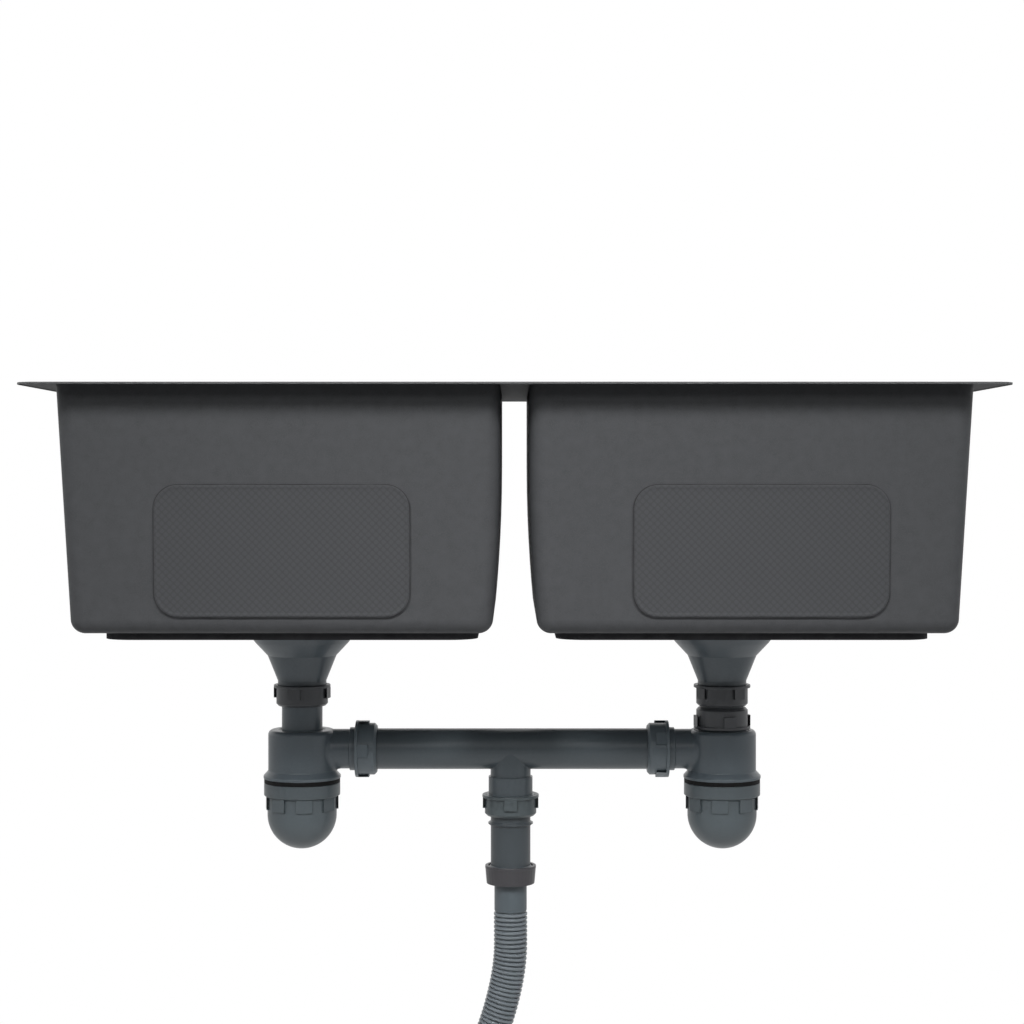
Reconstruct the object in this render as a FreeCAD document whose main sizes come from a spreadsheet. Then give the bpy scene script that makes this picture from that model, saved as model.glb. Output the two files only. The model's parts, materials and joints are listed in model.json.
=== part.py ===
import FreeCAD, Part
import math
import os
import Sketcher

# Double bowl kitchen sink with its plastic waste kit. Lengths are millimetres.
# +Z is up, +X is to the right and +Y to the back, as seen by someone in front of the sink.
# The origin is on the underside of the deck, in the middle of the bridge between the bowls.

SIZES = {
    # steel deck and bowls
    "deck_width": 870.0,
    "deck_depth": 440.0,
    "deck_thick": 1.2,
    "deck_corner": 22.0,
    "side_margin": 30.2,
    "front_margin": 25.0,
    "bridge_width": 25.6,
    "bowl_depth": 220.0,
    "bowl_wall": 1.0,
    "bowl_corner": 14.0,
    "floor_round": 13.0,
    "wall_draft": 11.3,
    "weld_gap": 0.05,
    # the wall beside the bridge drops straight and then bends away from the other bowl
    "bridge_bend_drop": 70.0,
    "bridge_bend_reach": 7.6,
    # drain recess pressed into each bowl floor
    "drain_spacing": 415.0,
    "drain_shift": -2.4,
    "drain_back": 43.0,
    "recess_radius": 60.0,
    "recess_drop": 4.0,
    "drain_hole_radius": 45.0,
    # sound-deadening pads
    "pad_width": 226.6,
    "pad_height": 118.4,
    "pad_corner": 22.0,
    "pad_thick": 2.5,
    "pad_drop": 146.4,
    "left_pad_shift": 4.8,
    "right_pad_shift": 12.1,
    "glue_gap": 0.1,
    "floor_pad_width": 335.0,
    "floor_pad_depth": 330.0,
    "floor_pad_thick": 6.4,
    "floor_pad_corner": 26.0,
    "floor_pad_hole": 65.0,
    "left_floor_pad_shift": 9.2,
    "right_floor_pad_shift": -0.6,
    # strainer dish, its seals and its clamp screw
    "dish_rim_radius": 57.0,
    "dish_seal_thick": 1.5,
    "dish_sheet": 1.0,
    "dish_mouth_radius": 42.0,
    "dish_floor_radius": 37.5,
    "dish_deep": 21.0,
    "dish_slot_count": 6.0,
    "dish_slot_start": 9.0,
    "dish_slot_end": 27.0,
    "dish_slot_width": 7.0,
    "screw_radius": 3.0,
    "screw_head_radius": 6.0,
    "screw_head_high": 3.0,
    "screw_long": 19.0,
    "screw_slot_width": 1.2,
    "screw_slot_deep": 1.5,
    "screw_round": 1.0,
    "waste_seal_thick": 2.5,
    # lift-out basket with stopper and knob
    "basket_floor_radius": 34.6,
    "basket_mouth_radius": 38.2,
    "basket_lip": 1.6,
    "basket_high": 16.8,
    "basket_sheet": 0.8,
    "basket_slot_count": 16.0,
    "basket_slot_width": 3.2,
    "basket_slot_low": 3.2,
    "basket_slot_high": 13.0,
    "stopper_outer": 29.0,
    "stopper_inner": 9.0,
    "stopper_thick": 3.7,
    "knob_stem_radius": 3.5,
    "knob_radius": 10.0,
    "knob_neck": 13.0,
    "knob_foot_radius": 8.0,
    "knob_top_radius": 7.0,
    "knob_flare": 2.0,
    "knob_swell": 6.0,
    "knob_round": 4.0,
    "knob_dome": 1.0,
    "knob_high": 26.0,
    # plastic waste funnel
    "funnel_wall": 2.6,
    "funnel_rim": 3.9,
    "funnel_mouth": 46.0,
    "funnel_waist": 45.9,
    "funnel_waist_drop": 18.1,
    "funnel_waist_bore": 42.4,
    "funnel_step_drop": 11.9,
    "funnel_kink": 34.8,
    "funnel_kink_drop": 29.9,
    "funnel_kink_step": 0.9,
    "funnel_neck_drop": 55.7,
    "funnel_high": 72.1,
    "funnel_hub_radius": 6.5,
    "funnel_hub_top": 22.0,
    "funnel_hub_base": 38.0,
    "funnel_rib": 2.5,
    "funnel_rib_foot": 28.6,
    "funnel_rib_count": 4.0,
    # couplings on the 40 mm pipework
    "pipe_radius": 20.0,
    "pipe_wall": 2.2,
    "thread_radius": 23.9,
    "slide_gap": 0.3,
    "grip_gap": 0.1,
    "nut_high": 21.0,
    "nut_radius": 25.4,
    "nut_flange_radius": 27.9,
    "nut_flange_high": 3.0,
    "nut_shoulder": 5.0,
    "nut_chamfer": 2.4,
    "nut_grip": 12.5,
    "lug_count": 4.0,
    "lug_width": 13.0,
    "lug_low": 13.5,
    "washer_high": 3.2,
    "washer_taper": 2.2,
    "nut_spacing": 1.5,
    "socket_deep": 12.0,
    "pipe_insert": 10.0,
    # bottle traps
    "trap_radius": 33.4,
    "trap_wall": 2.4,
    "trap_roof": 3.0,
    "trap_shoulder_round": 5.0,
    "trap_clearance": 1.0,
    "trap_flare_top": 40.6,
    "trap_flare_base": 46.4,
    "trap_flange_radius": 38.0,
    "trap_high": 47.9,
    "cup_thread_radius": 34.5,
    "cup_thread_long": 14.0,
    "gasket_thick": 4.0,
    "gasket_radius": 37.4,
    "cup_ring_radius": 37.5,
    "cup_ring_high": 12.2,
    "cup_ring_step": 2.0,
    "cup_radius": 34.1,
    "cup_wall": 2.3,
    "cup_centre_drop": 31.2,
    "cup_lug_radius": 35.3,
    "cup_lug_width": 16.0,
    "cup_lug_count": 8.0,
    "dip_radius": 17.5,
    "dip_wall": 2.0,
    "dip_collar": 20.0,
    "dip_collar_high": 2.0,
    "dip_end_drop": 84.0,
    # side arm of each trap
    "arm_drop": 19.3,
    "arm_radius": 19.5,
    "arm_bore": 17.0,
    "arm_collar_radius": 21.2,
    "arm_collar_start": 47.4,
    "arm_reach": 53.2,
    # cross pipe with its branch, and the tube under it
    "branch_shift": -3.9,
    "branch_radius": 19.8,
    "branch_neck": 27.0,
    "branch_band_radius": 21.7,
    "branch_long": 57.1,
    "tube_radius": 19.6,
    "tube_long": 73.0,
    "bead_radius": 22.1,
    "bead_drop": 24.3,
    "bead_high": 3.6,
    "bead_round": 0.6,
    "thread_runout": 1.5,
    "tube_thread_radius": 21.7,
    "tube_thread_long": 4.0,
    # hose coupling, hose and its end fitting
    "hose_nut_radius": 25.1,
    "hose_nut_high": 17.8,
    "hose_nut_flange": 2.6,
    "hose_nut_taper": 1.2,
    "hose_nut_rise": 5.4,
    "hose_nut_wall": 2.8,
    "hose_radius": 16.0,
    "hose_bore": 13.6,
    "hose_collar_radius": 20.8,
    "hose_collar_high": 3.0,
    "hose_step": 0.4,
    "hose_washer_high": 3.0,
    "hose_cuff_long": 37.0,
    "hose_end_cuff_long": 34.0,
    "rib_pitch": 4.3,
    "rib_crest": 16.5,
    "rib_valley": 15.1,
    "spigot_socket_deep": 16.0,
    "spigot_neck_radius": 20.0,
    "spigot_neck_long": 20.0,
    "spigot_radius": 25.0,
    "spigot_cone_long": 7.0,
    "spigot_long": 67.0,
    "spigot_wall": 2.4,
}

# The hose's route from the top of its bore: straight down, a slow bend to the left, and straight
# down again. These are the corners of its straight runs.
HOSE_ROUTE = [
    (0.0, 0.0, 0.0),
    (0.0, 0.0, -28.0),
    (0.0, 0.0, -110.0),
    (-44.0, 0.0, -226.0),
    (-44.0, 0.0, -300.0),
]
RIB_SHARES = (0.0, 0.3, 0.5, 0.8)
TRIM_SHARE = 0.45
STRAIGHT = math.radians(0.1)  # a smaller turn in the route needs no arc

# Inside a trap cup the round bottom is drawn in three equal bands.
CUP_LOW = math.sin(math.radians(30))
CUP_DEEP = math.cos(math.radians(30))

# How far a cut runs on past what it cuts, and how far a lug or rib is rooted in its wall.
BEYOND = 1.0
ROOTED = 1.5

START, END, CENTRE = range(1, 4)
ORIGIN = -1
BENT = 1  # the side of a bowl's profile that is an arc
SIDES = {"left": -1, "right": 1}
UP = FreeCAD.Vector(0, 0, 1)
ALONG_X = FreeCAD.Vector(1, 0, 0)
ALONG_Y = FreeCAD.Vector(0, 1, 0)


class Size:
    """A number together with the spreadsheet formula that gives it."""

    def __init__(self, value, formula):
        self.value = value
        self.formula = formula

    def __float__(self):
        return float(self.value)

    def __neg__(self):
        return Size(-self.value, f"(-{self.formula})")

    def __add__(self, other):
        other = as_size(other)
        return Size(self.value + other.value, f"({self.formula} + {other.formula})")

    def __sub__(self, other):
        other = as_size(other)
        return Size(self.value - other.value, f"({self.formula} - {other.formula})")

    def __mul__(self, other):
        other = as_size(other)
        return Size(self.value * other.value, f"({self.formula} * {other.formula})")

    def __truediv__(self, other):
        other = as_size(other)
        return Size(self.value / other.value, f"({self.formula} / {other.formula})")

    def __radd__(self, other):
        return as_size(other) + self

    def __rsub__(self, other):
        return as_size(other) - self

    def __rmul__(self, other):
        return as_size(other) * self


def as_size(number):
    return number if isinstance(number, Size) else Size(number, f"({number})")


class Sheet:
    """The spreadsheet of driving dimensions, read by name."""

    def __init__(self, document, sizes):
        self.cells = document.addObject("Spreadsheet::Sheet", "Sizes")
        for row, (name, value) in enumerate(sizes.items(), start=1):
            self.cells.set(f"A{row}", name)
            self.cells.set(f"B{row}", str(value))
            self.cells.setAlias(f"B{row}", name)
        document.recompute()

    def __getattr__(self, name):
        return Size(float(self.cells.get(name)), f"Sizes.{name}")


doc = FreeCAD.newDocument("double_bowl_sink")
s = Sheet(doc, SIZES)
nodes = []


# Drawing: sketches whose every corner is tied to the sheet


def bind(feature, path, size):
    feature.setExpression(path, as_size(size).formula)


def new_body(label):
    body = doc.addObject("PartDesign::Body", label)
    body.Label = label
    nodes.append(body)
    return body


def origin_of(body, role):
    return next(item for item in body.Origin.OriginFeatures if item.Role == role)


def sketch_on(body, role, offset=0):
    sketch = body.newObject("Sketcher::SketchObject", body.Label + "_sketch")
    sketch.AttachmentSupport = [(origin_of(body, role), "")]
    sketch.MapMode = "FlatFace"
    bind(sketch, "AttachmentOffset.Base.z", offset)
    return sketch


def tie(sketch, kind, edge, corner, size):
    """Hold one point of an edge at a distance from the sketch's origin."""
    rule = Sketcher.Constraint(kind, ORIGIN, START, edge, corner, float(size))
    number = sketch.addConstraint(rule)
    bind(sketch, f"Constraints[{number}]", size)


def outline(sketch, points):
    """A closed outline of straight edges."""
    corners = [FreeCAD.Vector(float(x), float(y), 0) for x, y in points]
    count = len(points)
    for i in range(count):
        sketch.addGeometry(Part.LineSegment(corners[i], corners[(i + 1) % count]))
    for i in range(count):
        sketch.addConstraint(Sketcher.Constraint("Coincident", i, END, (i + 1) % count, START))
        tie(sketch, "DistanceX", i, START, points[i][0])
        tie(sketch, "DistanceY", i, START, points[i][1])
    return sketch


def disc(sketch, radius, x=0, y=0):
    centre = FreeCAD.Vector(float(x), float(y), 0)
    edge = sketch.addGeometry(Part.Circle(centre, FreeCAD.Vector(0, 0, 1), float(radius)))
    tie(sketch, "DistanceX", edge, CENTRE, x)
    tie(sketch, "DistanceY", edge, CENTRE, y)
    number = sketch.addConstraint(Sketcher.Constraint("Radius", edge, float(radius)))
    bind(sketch, f"Constraints[{number}]", radius)
    return sketch


def rounded(sketch, left, right, front, back, radius):
    """A rectangle with four equal round corners."""
    x0, x1, y0, y1, r = (float(size) for size in (left, right, front, back, radius))
    sides = [
        ((x0 + r, y0), (x1 - r, y0)),
        ((x1, y0 + r), (x1, y1 - r)),
        ((x1 - r, y1), (x0 + r, y1)),
        ((x0, y1 - r), (x0, y0 + r)),
    ]
    turns = [
        ((x1 - r, y0 + r), -90, 0),
        ((x1 - r, y1 - r), 0, 90),
        ((x0 + r, y1 - r), 90, 180),
        ((x0 + r, y0 + r), 180, 270),
    ]
    for (ax, ay), (bx, by) in sides:
        sketch.addGeometry(Part.LineSegment(FreeCAD.Vector(ax, ay, 0), FreeCAD.Vector(bx, by, 0)))
    for (cx, cy), first, last in turns:
        circle = Part.Circle(FreeCAD.Vector(cx, cy, 0), UP, r)
        sketch.addGeometry(Part.ArcOfCircle(circle, math.radians(first), math.radians(last)))
    for i in range(4):
        sketch.addConstraint(Sketcher.Constraint("Tangent", i, END, i + 4, START))
        sketch.addConstraint(Sketcher.Constraint("Tangent", i + 4, END, (i + 1) % 4, START))
        sketch.addConstraint(Sketcher.Constraint(("Horizontal", "Vertical")[i % 2], i))
    for i in range(5, 8):
        sketch.addConstraint(Sketcher.Constraint("Equal", 4, i))
    number = sketch.addConstraint(Sketcher.Constraint("Radius", 4, r))
    bind(sketch, f"Constraints[{number}]", radius)
    tie(sketch, "DistanceY", 0, START, front)
    tie(sketch, "DistanceX", 1, START, right)
    tie(sketch, "DistanceY", 2, START, back)
    tie(sketch, "DistanceX", 3, START, left)
    return sketch


# Features


def turned(body, points):
    """Turn an outline of (radius, height) corners about the body's Z axis."""
    turning = body.newObject("PartDesign::Revolution", body.Label + "_turning")
    turning.Profile = outline(sketch_on(body, "XZ_Plane"), points)
    turning.ReferenceAxis = (turning.Profile[0], ["V_Axis"])
    turning.Angle = 360
    return turning


def bored(body, points):
    """Turn an outline about the body's Z axis and take it away."""
    groove = body.newObject("PartDesign::Groove", body.Label + "_groove")
    groove.Profile = outline(sketch_on(body, "XZ_Plane"), points)
    groove.ReferenceAxis = (groove.Profile[0], ["V_Axis"])
    groove.Angle = 360
    return groove


def padded(body, sketch, length, backwards=False, both_ways=False):
    pad = body.newObject("PartDesign::Pad", body.Label + "_pad")
    pad.Profile = sketch
    pad.Reversed = backwards
    pad.Midplane = both_ways
    bind(pad, "Length", length)
    return pad


def pocketed(body, sketch, length, backwards=False, both_ways=False):
    pocket = body.newObject("PartDesign::Pocket", body.Label + "_pocket")
    pocket.Profile = sketch
    pocket.Reversed = backwards
    pocket.Midplane = both_ways
    bind(pocket, "Length", length)
    return pocket


def repeated(body, feature, count):
    """Copies of one feature, evenly spaced about the body's Z axis."""
    pattern = body.newObject("PartDesign::PolarPattern", body.Label + "_pattern")
    pattern.Originals = [feature]
    pattern.Axis = (origin_of(body, "Z_Axis"), [""])
    pattern.Angle = 360
    bind(pattern, "Occurrences", count)
    body.Tip = pattern
    return pattern


def filleted(body, feature, radius, chosen):
    """Round the edges of a feature for which chosen(edge) is true."""
    doc.recompute()
    names = [f"Edge{i}" for i, edge in enumerate(feature.Shape.Edges, start=1) if chosen(edge)]
    fillet = body.newObject("PartDesign::Fillet", body.Label + "_fillet")
    fillet.Base = (feature, names)
    bind(fillet, "Radius", radius)
    return fillet


def lies_at(height):
    """A test for edges that lie in one level plane."""

    def test(edge):
        box = edge.BoundBox
        return abs(box.ZMin - float(height)) < 0.01 and abs(box.ZMax - float(height)) < 0.01

    return test


def ring_at(radius, height):
    """A test for a level round edge of one radius."""

    def test(edge):
        level = lies_at(height)(edge)
        return level and hasattr(edge.Curve, "Radius") and abs(edge.Curve.Radius - float(radius)) < 0.01

    return test


def placed(body, x=0, y=0, z=0, rotation=None):
    body.Placement = FreeCAD.Placement(FreeCAD.Vector(), rotation or FreeCAD.Rotation())
    for axis, size in (("x", x), ("y", y), ("z", z)):
        bind(body, f"Placement.Base.{axis}", size)
    return body


# Heights and places that several pieces share

bowl_side = s.deck_width / 2 - s.side_margin
bowl_front = s.deck_depth / 2 - s.front_margin
floor_z = -s.bowl_depth
recess_z = floor_z - s.recess_drop
seat_z = recess_z + s.bowl_wall
dish_floor_z = seat_z + s.dish_seal_thick + s.dish_sheet - s.dish_deep - s.dish_sheet
basket_z = dish_floor_z + s.slide_gap
funnel_z = recess_z - s.waste_seal_thick
inlet_thread_z = funnel_z - s.funnel_high
inlet_nut_z = inlet_thread_z + s.nut_grip
trap_nut_z = inlet_nut_z - 2 * s.nut_high - s.nut_spacing
trap_z = trap_nut_z - s.trap_clearance
arm_z = trap_z - s.arm_drop
gasket_z = trap_z - s.trap_high
cup_z = gasket_z - s.gasket_thick - s.slide_gap
branch_end_z = arm_z - s.branch_long
tee_nut_z = branch_end_z + s.nut_grip
tube_z = branch_end_z + s.pipe_insert
tube_end_z = tube_z - s.tube_long
hose_nut_z = tube_end_z + s.hose_nut_rise
hose_z = tube_end_z - s.hose_washer_high
pipe_bore = s.pipe_radius - s.pipe_wall
socket_radius = s.pipe_radius + s.slide_gap
nut_thread = s.thread_radius + s.slide_gap
arm_thread_end = s.arm_reach + s.nut_grip
pipe_end_x = s.drain_spacing / 2 - arm_thread_end + s.pipe_insert


def drain_x(side):
    return s.drain_spacing / 2 * side + s.drain_shift


# Deck and bowls


def bowl_profile(sketch, side, inset):
    """A bowl seen from the front: its outer wall leans, its wall at the bridge bends."""
    top, floor_level = s.deck_thick + inset, floor_z + inset
    outer = bowl_side - inset
    inner = s.bridge_width / 2 + inset
    corners = [
        (inner, top),
        (inner, -s.bridge_bend_drop),
        (inner + s.bridge_bend_reach, floor_level),
        (outer - s.wall_draft, floor_level),
        (outer + s.wall_draft * s.deck_thick / s.bowl_depth, top),
    ]
    corners = [(x * side, z) for x, z in corners]
    count = len(corners)
    places = [FreeCAD.Vector(float(x), float(z), 0) for x, z in corners]
    for i in range(count):
        if i == BENT:
            sketch.addGeometry(bend_between(places[i], places[i + 1]))
        else:
            sketch.addGeometry(Part.LineSegment(places[i], places[(i + 1) % count]))
    ends = {i: (START, END) for i in range(count)}
    if side < 0:
        ends[BENT] = (END, START)
    for i in range(count):
        after = (i + 1) % count
        joined = "Tangent" if after == BENT else "Coincident"
        sketch.addConstraint(Sketcher.Constraint(joined, i, ends[i][1], after, ends[after][0]))
        tie(sketch, "DistanceX", i, ends[i][0], corners[i][0])
        tie(sketch, "DistanceY", i, ends[i][0], corners[i][1])
    return sketch


def bend_between(top, foot):
    """An arc that leaves its top point straight down and ends at its foot."""
    reach, drop = foot.x - top.x, top.y - foot.y
    radius = (reach ** 2 + drop ** 2) / (2 * abs(reach))
    turn = math.asin(drop / radius)
    centre = FreeCAD.Vector(top.x + math.copysign(radius, reach), top.y, 0)
    circle = Part.Circle(centre, UP, radius)
    if reach < 0:
        return Part.ArcOfCircle(circle, -turn, 0)
    return Part.ArcOfCircle(circle, math.pi, math.pi + turn)


def make_deck():
    body = new_body("deck")
    sheet = sketch_on(body, "XY_Plane")
    rounded(sheet, -s.deck_width / 2, s.deck_width / 2, -s.deck_depth / 2, s.deck_depth / 2, s.deck_corner)
    padded(body, sheet, s.deck_thick)
    for side in SIDES.values():
        inner, outer = s.bridge_width / 2 - s.weld_gap, bowl_side + s.weld_gap
        left, right = (-outer, -inner) if side < 0 else (inner, outer)
        back = bowl_front + s.weld_gap
        opening = rounded(sketch_on(body, "XY_Plane"), left, right, -back, back, s.bowl_corner)
        pocketed(body, opening, s.deck_thick * 2, backwards=True)


def bowl_block(body, side, inset):
    """A bowl's outside, or with an inset its inside, as a solid block."""
    profile = bowl_profile(sketch_on(body, "XZ_Plane"), side, inset)
    block = padded(body, profile, (bowl_front + BEYOND) * 2, both_ways=True)
    top, floor_level = s.deck_thick + inset, floor_z + inset
    wall_top = bowl_front - inset + s.wall_draft * s.deck_thick / s.bowl_depth
    wall_foot = bowl_front - inset - s.wall_draft
    far = bowl_front + BEYOND * 2
    for facing in (-1, 1):
        wedge = [(wall_top, top), (wall_foot, floor_level), (far, floor_level), (far, top)]
        lean = outline(sketch_on(body, "YZ_Plane"), [(y * facing, z) for y, z in wedge])
        block = pocketed(body, lean, s.deck_width * 2, both_ways=True)
    block = filleted(body, block, s.bowl_corner - inset, is_upright)
    filleted(body, block, s.floor_round - inset, lies_at(floor_level))


def is_upright(edge):
    box = edge.BoundBox
    return box.ZLength > box.XLength and box.ZLength > box.YLength


def make_bowl(name, side):
    hollow = doc.addObject("PartDesign::Body", name + "_bowl_hollow")
    bowl_block(hollow, side, s.bowl_wall)
    body = new_body(name + "_bowl")
    bowl_block(body, side, as_size(0))
    emptied = body.newObject("PartDesign::Boolean", body.Label + "_emptied")
    emptied.Type = "Cut"
    emptied.setObjects([hollow])
    x, y = drain_x(side), s.drain_back
    boss = disc(sketch_on(body, "XY_Plane", recess_z), s.recess_radius + s.bowl_wall, x, y)
    padded(body, boss, s.recess_drop + s.bowl_wall / 2)
    recess = disc(sketch_on(body, "XY_Plane", floor_z + s.bowl_wall), s.recess_radius, x, y)
    pocketed(body, recess, s.recess_drop)
    hole = disc(sketch_on(body, "XY_Plane", seat_z), s.drain_hole_radius, x, y)
    pocketed(body, hole, s.bowl_wall * 2)


# Sound-deadening pads


def make_wall_pad(name, side, facing):
    """A pad glued to a bowl's long wall. Facing is -1 at the front and 1 at the back."""
    body = new_body(f"{name}_{'front' if facing < 0 else 'rear'}_pad")
    face = sketch_on(body, "XY_Plane")
    rounded(face, -s.pad_width / 2, s.pad_width / 2, -s.pad_height / 2, s.pad_height / 2, s.pad_corner)
    padded(body, face, s.pad_thick)
    lean = 90 + math.degrees(math.atan(float(s.wall_draft) / float(s.bowl_depth)))
    shift = s.left_pad_shift if side < 0 else s.right_pad_shift
    wall_y = bowl_front - s.wall_draft * s.pad_drop / s.bowl_depth + s.glue_gap
    rotation = FreeCAD.Rotation(ALONG_X, -facing * lean)
    placed(body, drain_x(side) + shift, wall_y * facing, -s.pad_drop, rotation)


def make_floor_pad(name, side):
    body = new_body(name + "_floor_pad")
    face = sketch_on(body, "XY_Plane")
    half_wide = s.floor_pad_width / 2
    half_deep = s.floor_pad_depth / 2
    rounded(face, -half_wide, half_wide, -half_deep, half_deep, s.floor_pad_corner)
    padded(body, face, s.floor_pad_thick, backwards=True)
    shift = s.left_floor_pad_shift if side < 0 else s.right_floor_pad_shift
    around_drain = disc(sketch_on(body, "XY_Plane"), s.floor_pad_hole, -shift, s.drain_back)
    pocketed(body, around_drain, s.floor_pad_thick * 2, both_ways=True)
    placed(body, drain_x(side) + shift, 0, floor_z - s.glue_gap)


# Strainer


def slotted_floor(body, level):
    slot = sketch_on(body, "XY_Plane", level)
    half = s.dish_slot_width / 2
    near, far = s.dish_slot_start, s.dish_slot_end
    outline(slot, [(near, -half), (far, -half), (far, half), (near, half)])
    return pocketed(body, slot, s.dish_sheet * 2)


def make_dish(name, side):
    """The steel dish: a rim that sits in the recess and a shallow cup with a slotted floor."""
    body = new_body(name + "_strainer_dish")
    under = s.dish_seal_thick
    top = under + s.dish_sheet
    base = top - s.dish_deep - s.dish_sheet
    hole = s.screw_radius + s.slide_gap
    turned(
        body,
        [
            (hole, base),
            (s.dish_floor_radius, base),
            (s.dish_mouth_radius, under),
            (s.dish_rim_radius, under),
            (s.dish_rim_radius, top),
            (s.dish_mouth_radius - s.dish_sheet, top),
            (s.dish_floor_radius - s.dish_sheet, base + s.dish_sheet),
            (hole, base + s.dish_sheet),
        ],
    )
    repeated(body, slotted_floor(body, base + s.dish_sheet), s.dish_slot_count)
    placed(body, drain_x(side), s.drain_back, seat_z)


def make_ring(label, inner, outer, high, x, y, z):
    """A flat ring whose top face is at z."""
    body = new_body(label)
    turned(body, [(inner, -high), (outer, -high), (outer, 0), (inner, 0)])
    return placed(body, x, y, z)


def make_screw(name, side):
    body = new_body(name + "_clamp_screw")
    turned(
        body,
        [
            (0, -s.screw_long),
            (s.screw_radius, -s.screw_long),
            (s.screw_radius, 0),
            (s.screw_head_radius, 0),
            (s.screw_head_radius, s.screw_head_high - s.screw_round),
            (s.screw_head_radius - s.screw_round, s.screw_head_high),
            (0, s.screw_head_high),
        ],
    )
    slot = sketch_on(body, "XY_Plane", s.screw_head_high)
    long, half = s.screw_head_radius + BEYOND, s.screw_slot_width / 2
    outline(slot, [(-long, -half), (long, -half), (long, half), (-long, half)])
    pocketed(body, slot, s.screw_slot_deep)
    placed(body, drain_x(side), s.drain_back, dish_floor_z + s.dish_sheet)


def make_basket(name, side):
    """The lift-out basket: sheet floor and flared wall with slots, and a turned-out lip."""
    body = new_body(name + "_basket")
    top = s.basket_high
    sheet = s.basket_sheet
    turned(
        body,
        [
            (0, 0),
            (s.basket_floor_radius, 0),
            (s.basket_mouth_radius, top - sheet),
            (s.basket_mouth_radius + s.basket_lip, top - sheet),
            (s.basket_mouth_radius + s.basket_lip, top),
            (s.basket_mouth_radius - sheet, top),
            (s.basket_floor_radius - sheet, sheet),
            (0, sheet),
        ],
    )
    slot = sketch_on(body, "XZ_Plane")
    half = s.basket_slot_width / 2
    low, high = s.basket_slot_low, s.basket_slot_high
    outline(slot, [(-half, low), (half, low), (half, high), (-half, high)])
    cut = pocketed(body, slot, s.basket_mouth_radius * 2)
    repeated(body, cut, s.basket_slot_count)
    placed(body, drain_x(side), s.drain_back, basket_z + s.dish_sheet + s.stopper_thick)


def make_knob(name, side):
    body = new_body(name + "_basket_knob")
    stem, head, high = s.knob_stem_radius, s.knob_radius, s.knob_high
    turned(
        body,
        [
            (0, 0),
            (stem, 0),
            (stem, s.knob_neck),
            (s.knob_foot_radius, s.knob_neck + s.knob_flare),
            (head, s.knob_neck + s.knob_swell),
            (head, high - s.knob_round),
            (s.knob_top_radius, high - s.knob_dome),
            (0, high),
        ],
    )
    rest_z = basket_z + s.dish_sheet + s.stopper_thick + s.basket_sheet
    placed(body, drain_x(side), s.drain_back, rest_z)


# Plastic waste funnel


def make_funnel(name, side):
    body = new_body(name + "_waste_funnel")
    wall = s.funnel_wall
    turned(
        body,
        [
            (s.funnel_mouth, 0),
            (s.funnel_mouth, -s.funnel_step_drop),
            (s.funnel_waist_bore, -s.funnel_waist_drop),
            (s.funnel_kink - wall, -s.funnel_kink_drop),
            (socket_radius, -s.funnel_neck_drop - wall),
            (socket_radius, -s.funnel_high),
            (s.thread_radius, -s.funnel_high),
            (s.thread_radius, -s.funnel_neck_drop),
            (s.funnel_kink - s.funnel_kink_step, -s.funnel_kink_drop - s.funnel_kink_step),
            (s.funnel_kink, -s.funnel_kink_drop),
            (s.funnel_waist, -s.funnel_waist_drop),
            (s.dish_rim_radius, -s.funnel_rim),
            (s.dish_rim_radius, 0),
        ],
    )
    hub_inner = s.screw_radius + s.slide_gap
    turned(
        body,
        [
            (hub_inner, -s.funnel_hub_base),
            (s.funnel_hub_radius, -s.funnel_hub_base),
            (s.funnel_hub_radius, -s.funnel_hub_top),
            (hub_inner, -s.funnel_hub_top),
        ],
    )
    rib = sketch_on(body, "XZ_Plane")
    inner = s.funnel_hub_radius - BEYOND
    outline(
        rib,
        [
            (inner, -s.funnel_hub_base),
            (s.funnel_rib_foot, -s.funnel_hub_base),
            (s.funnel_kink - wall / 2, -s.funnel_kink_drop),
            (inner, -s.funnel_kink_drop),
        ],
    )
    arm = padded(body, rib, s.funnel_rib, both_ways=True)
    repeated(body, arm, s.funnel_rib_count)
    placed(body, drain_x(side), s.drain_back, funnel_z)


# Couplings


def make_nut(label, x, y, z, rotation=None):
    """A coupling nut. Its open, flanged end is at its own z = 0 and faces up."""
    body = new_body(label)
    flange, plain = s.nut_flange_radius, s.nut_radius
    hole = s.pipe_radius + s.slide_gap
    turned(
        body,
        [
            (nut_thread, 0),
            (flange, 0),
            (flange, -s.nut_flange_high),
            (plain, -s.nut_flange_high),
            (plain, s.nut_chamfer - s.nut_high),
            (plain - s.nut_chamfer, -s.nut_high),
            (hole, -s.nut_high),
            (hole, s.nut_shoulder - s.nut_high),
            (nut_thread, s.nut_shoulder - s.nut_high),
        ],
    )
    lug = sketch_on(body, "XY_Plane")
    half = s.lug_width / 2
    root = plain - BEYOND
    outline(lug, [(root, -half), (flange, -half), (flange, half), (root, half)])
    grip = padded(body, lug, s.lug_low, backwards=True)
    repeated(body, grip, s.lug_count)
    return placed(body, x, y, z, rotation)


def make_washer(label, inner, x, y, z, rotation=None):
    """A tapered rubber washer. Its flat face is at its own z = 0 and faces up."""
    body = new_body(label)
    bore = inner + s.grip_gap
    rim = s.thread_radius - s.slide_gap
    turned(
        body,
        [(bore, -s.washer_high), (rim - s.washer_taper, -s.washer_high), (rim, 0), (bore, 0)],
    )
    return placed(body, x, y, z, rotation)


def make_union(name, inner, x, y, z, rotation=None, reach=ALONG_X * 0):
    """A nut and its washer on one pipe: z is the nut's open end, and reach leads to the washer."""
    make_nut(name + "_nut", x, y, z, rotation)
    grip = s.nut_grip
    make_washer(
        name + "_washer",
        inner,
        x + grip * reach.x,
        y + grip * reach.y,
        z + grip * reach.z,
        rotation,
    )


# Bottle traps


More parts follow.
